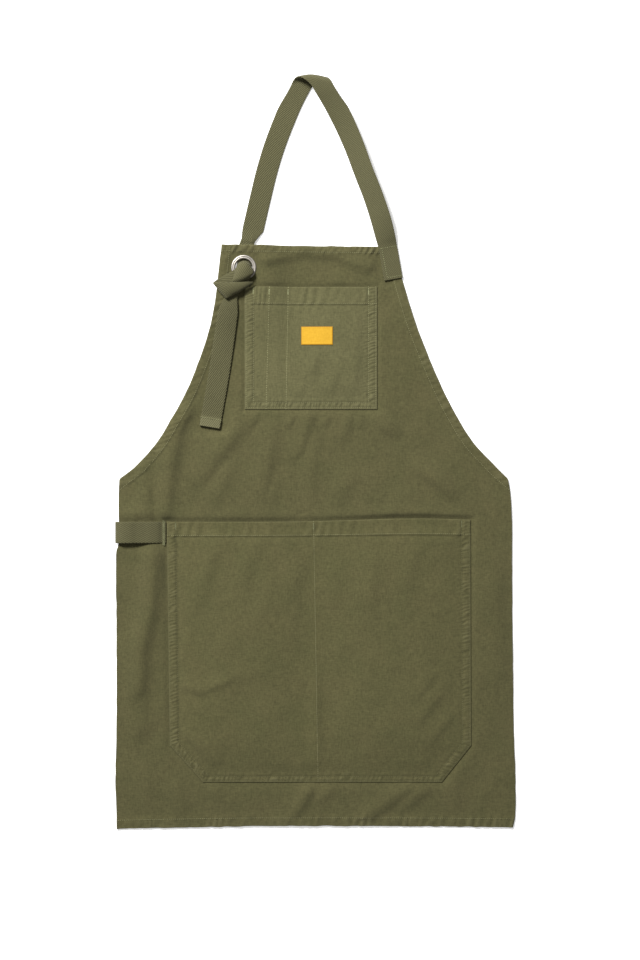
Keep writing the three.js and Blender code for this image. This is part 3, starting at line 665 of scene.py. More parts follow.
def buildPanel(material):
    x, y = panelGrid()
    leftIn, rightIn = fromEdges(x, y)
    topIn, bottomIn = panel["top"] - y, y - panel["bottom"]
    inward = np.minimum(np.minimum(leftIn, rightIn), np.minimum(topIn, bottomIn))
    relief, wear = panelRelief(x, y)
    low = panelLow(x, y)
    hole, pull = eyeletCells(x, y)
    within = panel["wanderWithin"]
    wander = hills(x * panel["wanderSlant"] + y, x, panel["wanderSize"], panel["wanderSeed"])
    wander = wander * bell(inward, panel["wanderReach"])
    sideways = np.where(leftIn < rightIn, -1, 1) * (np.minimum(leftIn, rightIn) < within)
    upDown = np.where(topIn < within, 1, np.where(bottomIn < within, -1, 0))
    px = eyelet["x"] + (x - eyelet["x"]) * pull + panel["sideWander"] * wander * sideways
    py = eyelet["y"] + (y - eyelet["y"]) * pull + bow(x, y) + panel["edgeWander"] * wander * upDown
    points, faces, source = closedSheet(px, py, low, low + panel["thick"] + relief, inward, hole)
    used, faces = np.unique(faces, return_inverse=True)  # drops the points inside the hole
    faces = faces.reshape(-1, 4).tolist()
    values = {"wear": wear.ravel()[source][used]}
    return meshPiece("apronBody", points[used], faces, material, values=values)


def pocketGrid(pocket):
    top, bottom = pocket["top"], pocket["bottom"]
    ys = rimmed(bottom, top, pocket["rowStep"])
    hemRows = top - pocket["hem"] + pocketRows["hem"]
    ys = withCuts(ys, np.concatenate([hemRows, bottom + pocket["bottomSeams"][1] + pocketRows["seam"]]))
    inner = pocket["sideSeams"][1]
    sewn = np.linspace(rimCuts[-1], inner - bandShape["innerEdge"], pocketColumns["band"])[1:]
    band = np.concatenate([rimCuts, sewn, [inner, inner + bandShape["outerEdge"]]])
    count = round(np.ptp(sidesAt(pocket, top)) / pocket["columnStep"]) - pocketColumns["spared"]
    rows = []
    for y in ys:
        left, right = (float(end) for end in sidesAt(pocket, y))
        middle = np.linspace(left + band[-1], right - band[-1], count)[1:-1]
        rows.append(np.concatenate([left + band, middle, (right - band)[::-1]]))
    return gridOf(rows, ys)


def buildPocket(name, pocket, material):
    x, y = pocketGrid(pocket)
    inward = np.maximum(-outside(pocket["path"], x, y), 0)
    low = pocketLow(pocket, x, y)
    relief, wear = pocketRelief(pocket, x, y)
    points, faces, source = closedSheet(x, y + bow(x, y), low, low + panel["thick"] + relief, inward)
    return meshPiece(name, points, faces, material, values={"wear": wear.ravel()[source]})


# Webbing: ribbons swept along tables of stations, with roll and curl in degrees

webbing = {
    "width": 32, "thick": 2, "step": 0.8, "scallop": 0.25, "scallopPitch": 3.26, "ease": 5,
    "edge": 1, "edgeCuts": (0, 0.15, 0.5), "columns": 15, "perSpan": 24, "leastSteps": 4, "leastCurl": 1e-4,
}
strap = {
    "top": 565, "foldRadius": 8.5, "crown": 0.28, "crownX": -7.5, "crownRound": 12, "crownFade": 45,
    "floorLift": 0.2, "tabZ": 3.5, "tailLift": 0.4, "tailEndLift": 0.8, "tailAhead": 4,
    "ribs": [(0.55, 1.0), (0.7, 0.7), (0.75, 0.75), (0.95, 0.95)],  # per ribbon: front, back
    "tabSeams": [
        [(99.5, 305), (103.6, 282), (107.8, 261), (128.2, 264.8)],
        [(98, 304.6), (121.5, 309)],
    ],
    "tailSeam": [(-64.2, -223.5), (-34.2, -228.6)],  # from the eyelet
}
foldY = strap["top"] - strap["foldRadius"] - webbing["thick"] / 2
foldZ = strap["floorLift"] + webbing["thick"] / 2 + strap["foldRadius"]
halfTurn = math.pi * strap["foldRadius"]
upperZ = foldZ + strap["foldRadius"]


def curveThrough(points, perSpan):
    p = np.vstack([2 * points[0] - points[1], points, 2 * points[-1] - points[-2]])
    t = (np.arange(perSpan) / perSpan)[:, None]
    spans = []
    for k in range(1, len(p) - 2):
        a, b, c, d = p[k - 1:k + 3]
        ab, bc, cd = (math.sqrt(np.linalg.norm(v)) for v in (b - a, c - b, d - c))
        m1 = ((b - a) / ab - (c - a) / (ab + bc) + (c - b) / bc) * bc
        m2 = ((c - b) / bc - (d - b) / (bc + cd) + (d - c) / cd) * bc
        spans.append(b + m1 * t + (3 * (c - b) - 2 * m1 - m2) * t ** 2 + (2 * (b - c) + m1 + m2) * t ** 3)
    return np.vstack(spans + [p[-2][None]])


def eased(values, reach):  # takes the corners out of a value that runs along a ribbon
    wide = np.pad(values, ((reach, reach),) + ((0, 0),) * (values.ndim - 1), mode="edge")
    kernel = np.hanning(2 * reach + 3)[1:-1]
    kernel = kernel / kernel.sum()
    flat = wide.reshape(len(wide), -1)
    out = np.stack([np.convolve(flat[:, i], kernel, "valid") for i in range(flat.shape[1])], 1)
    return out.reshape(values.shape)


def unit(v):
    return v / np.linalg.norm(v, axis=-1, keepdims=True)


def eachColumn(at, knots, table):
    return np.stack([np.interp(at, knots, column) for column in table.T], 1)


def ribbon(stations, bend=None, hand=1):  # hand -1 turns the twill over
    places = np.array([(s["x"], s["y"], s.get("z", 0)) for s in stations], float)
    dense = curveThrough(places, webbing["perSpan"])
    gone = np.concatenate([[0], np.cumsum(np.linalg.norm(np.diff(dense, axis=0), axis=1))])
    count = max(webbing["leastSteps"], round(gone[-1] / webbing["step"]))
    run = np.linspace(0, gone[-1], count + 1)
    at = np.interp(run, gone, np.arange(len(dense)) / webbing["perSpan"])
    knots = np.arange(len(stations))
    reach = round(webbing["ease"] / webbing["step"])
    halfWidth = webbing["width"] / 2

    def value(key, plain, other=None):  # a station without the key takes its other one, or the plain value
        row = [s.get(key, s.get(other, plain)) for s in stations]
        return eased(np.interp(at, knots, row), reach)[:, None]

    middle = eachColumn(run, gone, dense)
    ahead = unit(np.gradient(middle, axis=0))
    given = np.array([s.get("across", (0, 0, 0)) for s in stations], float)
    weight = np.interp(at, knots, [float("across" in s) for s in stations])[:, None]
    across = eased(eachColumn(at, knots, given) + (1 - weight) * unit(np.cross([0, 0, 1], ahead)), reach)
    across = unit(across - (1 - weight) * (across * ahead).sum(1, keepdims=True) * ahead)
    out = unit(np.cross(ahead, across))
    roll = np.radians(value("roll", 0))
    across, out = across * np.cos(roll) + out * np.sin(roll), out * np.cos(roll) - across * np.sin(roll)
    edge = webbing["edge"] / halfWidth
    cuts = np.array(webbing["edgeCuts"]) * edge
    inside = np.linspace(-1 + edge, 1 - edge, webbing["columns"])
    shares = np.concatenate([-1 + cuts, inside, (1 - cuts)[::-1]])
    curl = np.radians(value("curl", 0))
    curl = np.where(np.abs(curl) < webbing["leastCurl"], webbing["leastCurl"], curl)
    half = np.where(shares < 0, value("left", halfWidth, "half"), value("right", halfWidth, "half"))
    scallop = webbing["scallop"] * np.sin(2 * np.pi * run / webbing["scallopPitch"])[:, None]
    half = half + scallop * (np.abs(shares) > 1 - edge)
    turn = shares * curl
    sideways, drop = half / curl * np.sin(turn), half / curl * (1 - np.cos(turn))
    on = middle[:, None] + across[:, None] * sideways[..., None] - out[:, None] * drop[..., None]
    face = out[:, None] * np.cos(turn)[..., None] + across[:, None] * np.sin(turn)[..., None]
    thick = value("thick", webbing["thick"]) / 2 * roundEdge(1 - np.abs(shares), edge)
    front, back = on + face * thick[..., None], on - face * thick[..., None]
    if bend:
        front, back = bend(front), bend(back)
    u = np.broadcast_to(hand * shares * halfWidth, half.shape)
    v = np.broadcast_to(run[:, None], half.shape)
    pale = np.broadcast_to(value("pale", 0), half.shape)
    return front, back, np.stack([u, v], -1) * mm, run[-1], pale


def ribbonMesh(ribbons, ribShares):  # the shares say how clearly ribs show on a ribbon's front and back
    points, faces, uv, ribs, pales = [], [], [], [], []
    start = 0
    for (front, back, cloth, length, pale), (onFront, onBack) in zip(ribbons, ribShares):
        rows, columns = front.shape[:2]
        ring = np.concatenate([front, back[:, -2:0:-1]], 1)
        size = ring.shape[1]
        at = start + np.arange(rows * size).reshape(rows, size)
        after = np.roll(at, -1, axis=1)
        faces += np.stack([at[:-1], at[1:], after[1:], after[:-1]], -1).reshape(-1, 4).tolist()
        for row, turn in ((at[0], 1), (at[-1], -1)):
            inner = np.concatenate([row[:1], row[:columns - 1:-1], row[columns - 1:columns]])
            for j in range(columns - 1):
                cap = [row[j], row[j + 1], inner[j + 1], inner[j]]
                faces.append(list(dict.fromkeys(cap[::turn])))
        points.append(ring.reshape(-1, 3))
        uv.append(np.concatenate([cloth, cloth[:, -2:0:-1]], 1).reshape(-1, 2))
        ribs.append(np.tile(np.where(np.arange(size) < columns, onFront, onBack), rows))
        pales.append(np.concatenate([pale, pale[:, -2:0:-1]], 1).ravel())
        start += rows * size
    values = {"ribs": np.concatenate(ribs), "pale": np.concatenate(pales)}
    return np.concatenate(points), faces, np.concatenate(uv), values


def overFold(p):  # wraps the unrolled strap over the fold at its top
    x, c, n = p[..., 0], p[..., 1], p[..., 2]
    near = ramp(c, -strap["crownFade"], 0) * (1 - ramp(c, halfTurn, halfTurn + strap["crownFade"]))
    crown = np.hypot(x - strap["crownX"], strap["crownRound"]) - strap["crownRound"]
    turn = np.clip(c, 0, halfTurn) / strap["foldRadius"]
    radius = strap["foldRadius"] + n
    y = foldY + radius * np.sin(turn) + np.minimum(c, 0) - np.maximum(c - halfTurn, 0)
    return np.stack([x, y - strap["crown"] * crown * near, foldZ + radius * np.cos(turn)], -1)


def stationRows(fields, rows, **more):  # a row that stops early leaves the later fields plain
    return [{**more, **dict(zip(fields.split(), row))} for row in rows]


def neckLoop():
    tabZ = strap["tabZ"]
    rightLeg = stationRows("x y z roll half", [
        (117.0, 259, tabZ, 0, 14),
        (112.6, 284, tabZ, 0, 14),
        (108.4, 307, tabZ, 0, 14),
        (104.7, 322, 6.8, -9, 15),
        (97.7, 348, 10.4, -21),
        (85.7, 384, 11.6, -25),
        (71.6, 420, 12.0, -26),
        (58.4, 456, 11.6, -23),
        (42.8, 492, 12.0, -16),
        (24.2, 528, 15.2, -7),
        (14.6, 544, 17.4, -2),
    ])
    foldTurn = [(7.6, 0), (1.6, 0.25), (-5.6, 0.5), (-12.8, 0.75), (-18.6, 1)]  # x, share of the half turn
    leftLeg = stationRows("x y z thick left", [
        (-24.6, 545),
        (-33.5, 528),
        (-48.8, 492),
        (-62.3, 456),
        (-73.1, 420),
        (-81.9, 384),
        (-90.3, 348),
        (-93.8, 332),
        (-94.8, 322, -0.6, 3.2, 9),
        (-95.4, 314, -1.1, 4.2, 3.5),
    ])
    unrolled = [{**s, "y": s["y"] - foldY, "z": s["z"] - upperZ} for s in rightLeg]
    unrolled += stationRows("x y", [(x, share * halfTurn) for x, share in foldTurn])
    unrolled += [{**s, "y": halfTurn + foldY - s["y"]} for s in leftLeg]
    return ribbon(unrolled, overFold)


def fromEyelet(stations):
    return [{**s, "x": s["x"] + eyelet["x"], "y": s["y"] + eyelet["y"]} for s in stations]


def throughEyelet():  # behind the bib, up through the eyelet and over its lower rim
    behind = stationRows("x y z curl right thick left", [
        (12.2, 41, 2.3, 0, 5, 4),
        (9.6, 34, 2.4, 0, 5, 4),
        (6.2, 26, 3.4, 8, 8, 3.2),
        (3.2, 19, 4.9, 16, 13, webbing["thick"], 13),
    ])
    upwards = stationRows("x y z curl left right", [
        (1.8, 13.0, 5.5, 28, 11),
        (0.4, 9.2, 7.7, 70, 12.5, 14.5),
        (0.0, 8.8, 10.4, 87, 15.5, 15.5),
        (0.2, 8.2, 14.6, 85),
        (0.3, 4.4, 20.4, 82),
        (0.6, -2.5, 23.6, 62),
    ], across=(1, 0, 0))
    over = stationRows("x y z curl across right", [
        (0.2, -10, 24.4, 46, (0.99, 0.12, 0)),
        (-1.0, -16.4, 23.6, 34, (0.955, 0.297, 0)),
        (-2.4, -20.8, 20.0, 28, (0.95, 0.31, 0)),
        (-3.5, -24.2, 15.0, 22, (0.95, 0.31, 0), 14),
        (-5.5, -33, 12.2, 14, (0.96, 0.28, 0), 8),
    ])
    return ribbon(fromEyelet(behind + upwards + over), hand=-1)


def knotBand():  # from under the strap to the left, folded over there, and back in front of it
    band, corner = (0.5, -0.866, 0), (0.667, -0.745, 0)
    return ribbon(fromEyelet(stationRows("x y z curl across half", [
        (2.0, -13.0, 12.8, 0, band),
        (-7.7, -18.3, 12.8, 10, band),
        (-20.4, -25.2, 13.0, 14, band),
        (-30.6, -30.6, 13.0, 0, corner, 15.4),
        (-35.6, -35.2, 16.8, 0, corner, 15.4),
        (-32.4, -35.2, 20.8, -12, (0.6, -0.8, -0.05), 14.2),
        (-25.0, -35.0, 22.2, -30, (0.16, -0.97, -0.16), 12.2),
        (-13.4, -33.2, 22.6, -42, (-0.1, -0.95, -0.28), 10.6),
        (-3.0, -30.6, 22.0, -46, (-0.2, -0.94, -0.28), 8.2),
        (6.0, -27.2, 20.0, -42, (-0.3, -0.92, -0.28), 5.2),
        (13.0, -24.4, 16.4, -30, (-0.4, -0.85, -0.28), 2.4),
    ])), hand=-1)


def tailHeight(s):
    curled = s["half"] * math.radians(s.get("curl", 0)) / 2
    rest = panel["thick"] + panel["hemThick"] + seamGap + webbing["thick"] / 2
    lift = strap["tailEndLift"] if "thick" in s else strap["tailLift"]
    return float(liftAt(s["x"], s["y"] + strap["tailAhead"])) + rest + curled + lift


def tail():  # lying on the panel, its end turned back
    table = fromEyelet(stationRows("x y half curl thick pale", [
        (-13.0, -30, 9),
        (-18.0, -44, 9),
        (-20.6, -54, 12, 14),
        (-23.2, -66, 15, 12),
        (-29.0, -104, 15.5, 6),
        (-35.4, -148, 15.5),
        (-42.0, -187, 15.5),
        (-48.6, -224, 15.5),
        # the turned-back end is painted lighter, as painted light where it faces the light
        (-49.0, -226.5, 15.5, 0, 3.6, 0.8),
        (-51.0, -238.5, 15.5, 0, 3.6, 1.0),
    ]))
    return ribbon([{**s, "z": tailHeight(s)} for s in table], hand=-1)


def buildWebbing(name, parts, ribs, material):
    points, faces, uv, values = ribbonMesh(parts, ribs)
    return meshPiece(name, points, faces, material, uv, values), sum(part[3] for part in parts)


towelLoop = {
    "y": -120.4, "sewnZ": 2.5, "ribs": [(0.5, 0.5)], "tackX": -227.2, "tackAbove": 17, "tackBelow": 19,
    "route": [  # x, z: sewn down beside the pocket, bowed up, round the side edge to the back
        (-224.4, 2.5),
        (-230, 2.5),
        (-236.5, 5.5),
        (-246, 7.8),
        (-257, 8.8),
        (-268, 10.2),
        (-279, 12.4),
        (-290, 11.6),
        (-297, 8.4),
        (-299, 5.2),
        (-297.2, 2.1),
        (-291, 1.2),
        (-279, 1.2),
    ],
}


def loopRibbon():
    return ribbon(stationRows("x z", towelLoop["route"], y=towelLoop["y"], across=(0, 1, 0)))


# Eyelet: ring and washer turned round the eyelet's axis

eyelet = {
    "x": -107.4, "y": 276, "hole": 14.3, "inner": 12.75, "barrel": 13.9, "outer": 19, "front": 9.2,
    "depth": 2.2, "washerThick": 0.7, "washerIn": 0.6, "washerGap": 0.2,
    "turns": 112, "rounds": 3, "cornerCut": 0.2, "cellSlack": 0.6, "pullFrom": 9,
}


def turned(name, corners, material):  # cuts the corners of a closed profile into short curves and turns it
    profile = np.array(corners, float)
    cut = eyelet["cornerCut"]
    for _ in range(eyelet["rounds"]):
        after = np.roll(profile, -1, axis=0)
        profile = np.stack([(1 - cut) * profile + cut * after, cut * profile + (1 - cut) * after], 1)
        profile = profile.reshape(-1, 2)
    angle = np.arange(eyelet["turns"]) * 2 * np.pi / eyelet["turns"]
    x = eyelet["x"] + np.cos(angle)[:, None] * profile[:, 0]
    y = eyelet["y"] + np.sin(angle)[:, None] * profile[:, 0]
    z = eyelet["front"] + np.broadcast_to(profile[:, 1], x.shape)
    at = np.arange(x.size).reshape(x.shape)
    ahead, up = np.roll(at, -1, axis=0), np.roll(at, -1, axis=1)
    faces = np.stack([at, ahead, np.roll(ahead, -1, axis=1), up], -1).reshape(-1, 4).tolist()
    return meshPiece(name, np.stack([x, y, z], -1).reshape(-1, 3), faces, material)


def buildRing(material):
    inner, outer, barrel, depth = (eyelet[key] for key in ("inner", "outer", "barrel", "depth"))
    return turned("eyeletRing", [  # radius, height over the cloth
        (inner, -depth), (barrel, -depth), (barrel, seamGap), (outer, seamGap), (outer, 0.9),
        (outer - 0.7, 1.75), (outer - 1.9, 2.1), (outer - 2.7, 1.95), (inner + 3.0, 1.55),
        (inner + 2.6, 2.0), (inner + 1.6, 2.1), (inner + 0.6, 1.7), (inner, 0.9),
    ], material)


def buildWasher(material):
    inner, outer = eyelet["barrel"] + eyelet["washerGap"], eyelet["outer"] - eyelet["washerIn"]
    high = -panel["thick"] - seamGap
    low = high - eyelet["washerThick"]
    return turned("eyeletWasher", [(inner, low), (outer, low), (outer, high), (inner, high)], material)


label = {
    "width": 47.5, "height": 27.5, "thick": 0.8, "x": 2.2, "y": 174.2, "step": 0.8, "rimShare": 0.5,
    "border": 0.18, "borderIn": 2.2, "borderReach": 0.9, "stitchIn": 1.0,
}


def labelFront(x, y):
    return pocketFront(chest, x, y) + seamGap / 2 + label["thick"]


def buildLabel(material):
    halfX, halfY = label["width"] / 2, label["height"] / 2
    xs, ys = (rimmed(-half, half, label["step"], rimCuts * label["rimShare"]) for half in (halfX, halfY))
    x, y = np.meshgrid(label["x"] + xs, label["y"] + ys)
    inward = np.minimum(halfX - np.abs(x - label["x"]), halfY - np.abs(y - label["y"]))
    high = labelFront(x, y) + label["border"] * bell(inward - label["borderIn"], label["borderReach"])
    points, faces, source = closedSheet(x, y + bow(x, y), high - label["thick"], high, inward)
    uv = np.stack([(x - label["x"]) * mm, (y - label["y"]) * mm], -1).reshape(-1, 2)[source]
    return meshPiece("labelPatch", points, faces, material, uv=uv)


# Stitches: a Geometry Nodes tree lays one stitch at each step of a seam's line

def put(tree, kind, inputs=None, **settings):  # a node with its settings, values and links
    made = tree.nodes.new(kind)
    for key, value in settings.items():
        setattr(made, key, value)
    for key, value in (inputs or {}).items():
        if isinstance(value, bpy.types.NodeSocket):
            tree.links.new(value, made.inputs[key])
        else:
            made.inputs[key].default_value = value
    return made


def stitchTree():
    tree = bpy.data.node_groups.new("seamStitches", "GeometryNodeTree")
    names = {}
    tree.interface.new_socket("Geometry", in_out="INPUT", socket_type="NodeSocketGeometry")
    for name, kind in (
        ("Pitch", "Float"), ("Length", "Float"), ("Width", "Float"), ("Turn", "Float"), ("Stray", "Float"),
        ("Seed", "Int"), ("Thread", "Material"),
    ):
        made = tree.interface.new_socket(name, in_out="INPUT", socket_type="NodeSocket" + kind)
        names[name] = made.identifier
    tree.interface.new_socket("Geometry", in_out="OUTPUT", socket_type="NodeSocketGeometry")
    start = put(tree, "NodeGroupInput").outputs
    line = put(tree, "GeometryNodeMeshToCurve", {"Mesh": start["Geometry"]})
    steps = put(tree, "GeometryNodeResampleCurve", {
        "Curve": line.outputs[0], "Length": start["Pitch"],
    }, mode="LENGTH")
    spots = put(tree, "GeometryNodeCurveToPoints", {"Curve": steps.outputs[0]}, mode="EVALUATED")
    up = put(tree, "GeometryNodeInputNamedAttribute", {"Name": "up"}, data_type="FLOAT_VECTOR")
    stray = put(tree, "ShaderNodeMath", {0: start["Stray"], 1: -1.0}, operation="MULTIPLY")
    wobble = put(tree, "FunctionNodeRandomValue", {
        "Min": stray.outputs[0], "Max": start["Stray"], "Seed": start["Seed"],
    }, data_type="FLOAT")
    lean = put(tree, "ShaderNodeMath", {0: start["Turn"]}, operation="ADD")
    tree.links.new(next(s for s in wobble.outputs if s.enabled), lean.inputs[1])
    along = put(tree, "FunctionNodeAlignRotationToVector", {"Vector": spots.outputs["Tangent"]}, axis="X")
    upright = put(tree, "FunctionNodeAlignRotationToVector", {
        "Rotation": along.outputs[0], "Vector": up.outputs[0],
    }, axis="Z", pivot_axis="X")
    twist = put(tree, "FunctionNodeAxisAngleToRotation", {"Axis": (0, 0, 1), "Angle": lean.outputs[0]})
    place = put(tree, "FunctionNodeRotateRotation", {
        "Rotation": upright.outputs[0], "Rotate By": twist.outputs[0],
    }, rotation_space="LOCAL")
    bead = put(tree, "GeometryNodeMeshUVSphere", {"Segments": 6, "Rings": 5, "Radius": 0.5})
    size = put(tree, "ShaderNodeCombineXYZ", {
        "X": start["Length"], "Y": start["Width"], "Z": start["Width"],
    })
    many = put(tree, "GeometryNodeInstanceOnPoints", {
        "Points": spots.outputs[0], "Instance": bead.outputs[0],
        "Rotation": place.outputs[0], "Scale": size.outputs[0],
    })
    real = put(tree, "GeometryNodeRealizeInstances", {0: many.outputs[0]})
    soft = put(tree, "GeometryNodeSetShadeSmooth", {0: real.outputs[0]})
    threaded = put(tree, "GeometryNodeSetMaterial", {
        "Geometry": soft.outputs[0], "Material": start["Thread"],
    })
    put(tree, "NodeGroupOutput", {"Geometry": threaded.outputs[0]})
    return tree, names


def sewSeams(name, lines, look, thread, tree, names):
    points = np.concatenate([line for line, up in lines]) * mm
    ups = np.concatenate([up for line, up in lines])
    edges, start = [], 0
    for line, up in lines:
        edges += [(start + i, start + i + 1) for i in range(len(line) - 1)]
        start += len(line)
    mesh = bpy.data.meshes.new(name + "Lines")
    mesh.from_pydata(points, edges, [])
    layer = mesh.attributes.new("up", "FLOAT_VECTOR", "POINT")
    layer.data.foreach_set("vector", ups.astype(np.float32).ravel())
    guide = placed(name + "Lines", mesh)
    sewing = guide.modifiers.new("sewing", "NODES")
    sewing.node_group = tree
    for key, value in look.items():
        sewing[names[key]] = value
    sewing[names["Thread"]] = thread
    graph = bpy.context.evaluated_depsgraph_get()
    made = bpy.data.meshes.new_from_object(guide.evaluated_get(graph), depsgraph=graph)
    made.name = name
    guide.modifiers.remove(sewing)
    bpy.data.objects.remove(guide)
    return placed(name, made)


def stitch(pitch, length, width, turn, stray, seed):  # mm, and the turn in radians
    sizes = {"Pitch": pitch * mm, "Length": length * mm, "Width": width * mm}
    return {**sizes, "Turn": turn, "Stray": stray, "Seed": seed}


seamLook = stitch(3.1, 2.4, 0.85, 0.0, 0.12, 4)
slotLook = stitch(3.5, 2.4, 0.85, 0.0, 0.12, 6)
tackLook = stitch(0.62, 2.8, 0.6, 1.35, 0.2, 9)
wideTackLook = stitch(1.25, 5.6, 0.8, 1.15, 0.3, 12)
labelLook = stitch(1.9, 1.5, 0.35, 0.0, 0.1, 15)
seamPath = {
    "step": 2.0, "tiltReach": 0.6, "endIn": 1, "hemIn": 1.5, "panelIn": 3, "runOutIn": 2, "waistIn": 2,
    "armholePoints": 120, "overWebbing": 0.1, "overTail": 6.5,
}


def seamLine(points, front, moved=bow):  # a seam's points on a cloth, with the way its face looks
    path = np.array(points, float)
    gone = np.concatenate([[0], np.cumsum(np.hypot(*np.diff(path, axis=0).T))])
    run = np.linspace(0, gone[-1], max(2, round(gone[-1] / seamPath["step"])))
    x, y = np.interp(run, gone, path[:, 0]), np.interp(run, gone, path[:, 1])
    reach = seamPath["tiltReach"]
    tilt = np.stack([
        front(x + reach, y) - front(x - reach, y),
        front(x, y + reach) - front(x, y - reach),
    ], 1) / (2 * reach)
    up = unit(np.concatenate([-tilt, np.ones((len(x), 1))], 1))
    return np.stack([x, y + moved(x, y), front(x, y)], 1), up


def armholeSeam(col, turn):
    start, end = panel["top"] - seamPath["panelIn"], panel["waist"] + seamPath["waistIn"]
    ys = np.linspace(start, end, seamPath["armholePoints"])
    inset = panel["armholeHem"] - panel["stitchIn"]
    xs = edgeAt(col, ys) + turn * inset * np.hypot(1, edgeLean(col, ys))
    runOut = (float(edgeAt(col, panel["hemRunOut"])) + turn * seamPath["runOutIn"], panel["hemRunOut"])
    return list(zip(xs, ys)) + [runOut]


def panelSeams():
    topY = panel["top"] - panel["topHem"] + panel["stitchIn"]
    bottomY = panel["bottom"] + panel["bottomHem"] - panel["stitchIn"]
    lines = []
    for y in (topY, bottomY):
        left, right = float(edgeAt(leftCol, y)), float(edgeAt(rightCol, y))
        lines.append([(left + seamPath["panelIn"], y), (right - seamPath["panelIn"], y)])
    lines += [armholeSeam(leftCol, 1), armholeSeam(rightCol, -1)]
    return [seamLine(line, panelFront) for line in lines]


def onPocket(pocket, lines):
    return [seamLine(line, lambda x, y: pocketFront(pocket, x, y)) for line in lines]


def outlineSeam(pocket, sideIn, bottomIn):  # the sewn sides of a pocket, each moved in by its own inset
    path = pocket["path"]
    bottomSide = len(path) // 2 - 1
    moved = []
    for i, ((x0, y0), (x1, y1)) in enumerate(zip(path, path[1:])):
        length = math.hypot(x1 - x0, y1 - y0)
        inset = bottomIn if i == bottomSide else sideIn
        nx, ny = -(y1 - y0) / length * inset, (x1 - x0) / length * inset
        moved.append(((x0 + nx, y0 + ny), (x1 + nx, y1 + ny)))
    points = [moved[0][0]]
    for (a, b), (c, d) in zip(moved, moved[1:]):
        cross = (b[0] - a[0]) * (d[1] - c[1]) - (b[1] - a[1]) * (d[0] - c[0])
        t = ((c[0] - a[0]) * (d[1] - c[1]) - (c[1] - a[1]) * (d[0] - c[0])) / cross
        points.append((a[0] + t * (b[0] - a[0]), a[1] + t * (b[1] - a[1])))
    return points + [moved[-1][1]]


def outlineSeams(pocket):
    return [outlineSeam(pocket, *insets) for insets in zip(pocket["sideSeams"], pocket["bottomSeams"])]


def compartmentSeams(pocket):
    ends = pocket["top"] - seamPath["endIn"], pocket["bottom"] + seamPath["endIn"]
    return [list(zip(xs, ends)) for xs in pocket["seams"]]


def mouthSeam(pocket):
    y = pocket["top"] - pocket["hem"] + seamPath["hemIn"]
    left, right = (float(x) for x in sidesAt(pocket, y))
    return [(left + seamPath["endIn"], y), (right - seamPath["endIn"], y)]


def pocketTacks(pocket):  # short bars where the seams reach the mouth
    top, left, right = pocket["outline"][0]
    inner = pocket["sideSeams"][1]
    lines = [[(lineAt(ends, top - drop, pocket), top - drop) for drop in pocket["seamTack"]]
             for ends in pocket["seams"]]
    lines += [[(x, top - drop) for drop in pocket["cornerTack"]] for x in (left + inner, right - inner)]
    return onPocket(pocket, lines)


def onWebbing(line, middleZ):  # a seam across webbing that lies flat
    height = middleZ + webbing["thick"] / 2 + seamPath["overWebbing"]
    return seamLine(line, lambda x, y: np.full(np.shape(x), height), lambda x, y: 0 * x)


def loopTack():
    x, y = towelLoop["tackX"], towelLoop["y"]
    line = [(x, y + towelLoop["tackAbove"]), (x, y - towelLoop["tackBelow"])]
    return [onWebbing(line, towelLoop["sewnZ"])]


def strapSeams():
    tailEnd = [(eyelet["x"] + x, eyelet["y"] + y) for x, y in strap["tailSeam"]]
    onTail = seamLine(tailEnd, lambda x, y: liftAt(x, y) + seamPath["overTail"], lambda x, y: 0 * x)
    return [onWebbing(line, strap["tabZ"]) for line in strap["tabSeams"]] + [onTail]


def labelSeam():
    w, h = label["width"] / 2 - label["stitchIn"], label["height"] / 2 - label["stitchIn"]
    x, y = label["x"], label["y"]
    frameLine = [(x - w, y - h), (x + w, y - h), (x + w, y + h), (x - w, y + h), (x - w, y - h)]
    return [seamLine(frameLine, labelFront)]


# Finishes

def onScreen(red, green, blue):  # a screen colour as the linear one that shaders take
    return tuple(((c / 255 + 0.055) / 1.055) ** 2.4 for c in (red, green, blue)) + (1.0,)


def grey(value):
    return (value, value, value, 1)


fabric = {"Roughness": 0.95, "Specular IOR Level": 0.15, "Sheen Weight": 0.06, "Sheen Roughness": 0.6}
canvasLook = {
    "shade": onScreen(79, 77, 49), "light": onScreen(84, 80, 52),
    "thin": (0.71, 0.71, 0.69, 1), "thick": (1.27, 1.27, 1.26, 1),
    # the light colour serves fading, rubbing and painted light on shaded pocket rims; the dark colour is
    # painted shade for ditches and troughs
    "wornAndLit": onScreen(114, 110, 79), "fade": 0.55, "paintedShadeColour": onScreen(44, 43, 24), "keep": 0.6,
    "pitch": 0.9, "seed": 1.0, "bump": 0.5, "depth": 0.3,
}
# the chest pocket's canvas, a lighter tone than the panel
chestLook = {**canvasLook, "shade": onScreen(89, 87, 58), "light": onScreen(93, 90, 61), "seed": 2.0}
lowerLook = {**canvasLook, "shade": onScreen(81, 79, 50), "light": onScreen(86, 82, 53), "seed": 3.0}
webbingLook = {
    "shade": onScreen(56, 54, 34), "light": onScreen(62, 60, 39), "rib": onScreen(103, 100, 69),
    # end: painted light on the tail's turned-back end
    "end": onScreen(118, 115, 84), "endLight": 0.6, "pitch": 5.4, "slant": -1.85, "bump": 0.9, "depth": 0.5,
    "shader": {"Roughness": 0.9, "Specular IOR Level": 0.2, "Sheen Weight": 0.05, "Sheen Roughness": 0.6},
}
nickelLook = {
    "dull": (0.34, 0.314, 0.277, 1), "bright": (0.43, 0.4, 0.356, 1), "gloss": (0.43, 0.53),
    "brushScale": 900.0, "cloudScale": 140.0, "bump": 0.12, "depth": 0.05,
}
patchLook = {
    # the edge colour is the label's darker woven edge together with painted shade along its rim
    "dark": onScreen(192, 146, 34), "light": onScreen(210, 164, 46), "edge": onScreen(150, 104, 28),
    "edgeFrom": 1.6, "edgeTo": 0.4, "edgeShare": 0.75, "pitch": 0.45, "bump": 0.35, "depth": 0.15,
    "shader": {"Roughness": 0.8, "Specular IOR Level": 0.25},
}
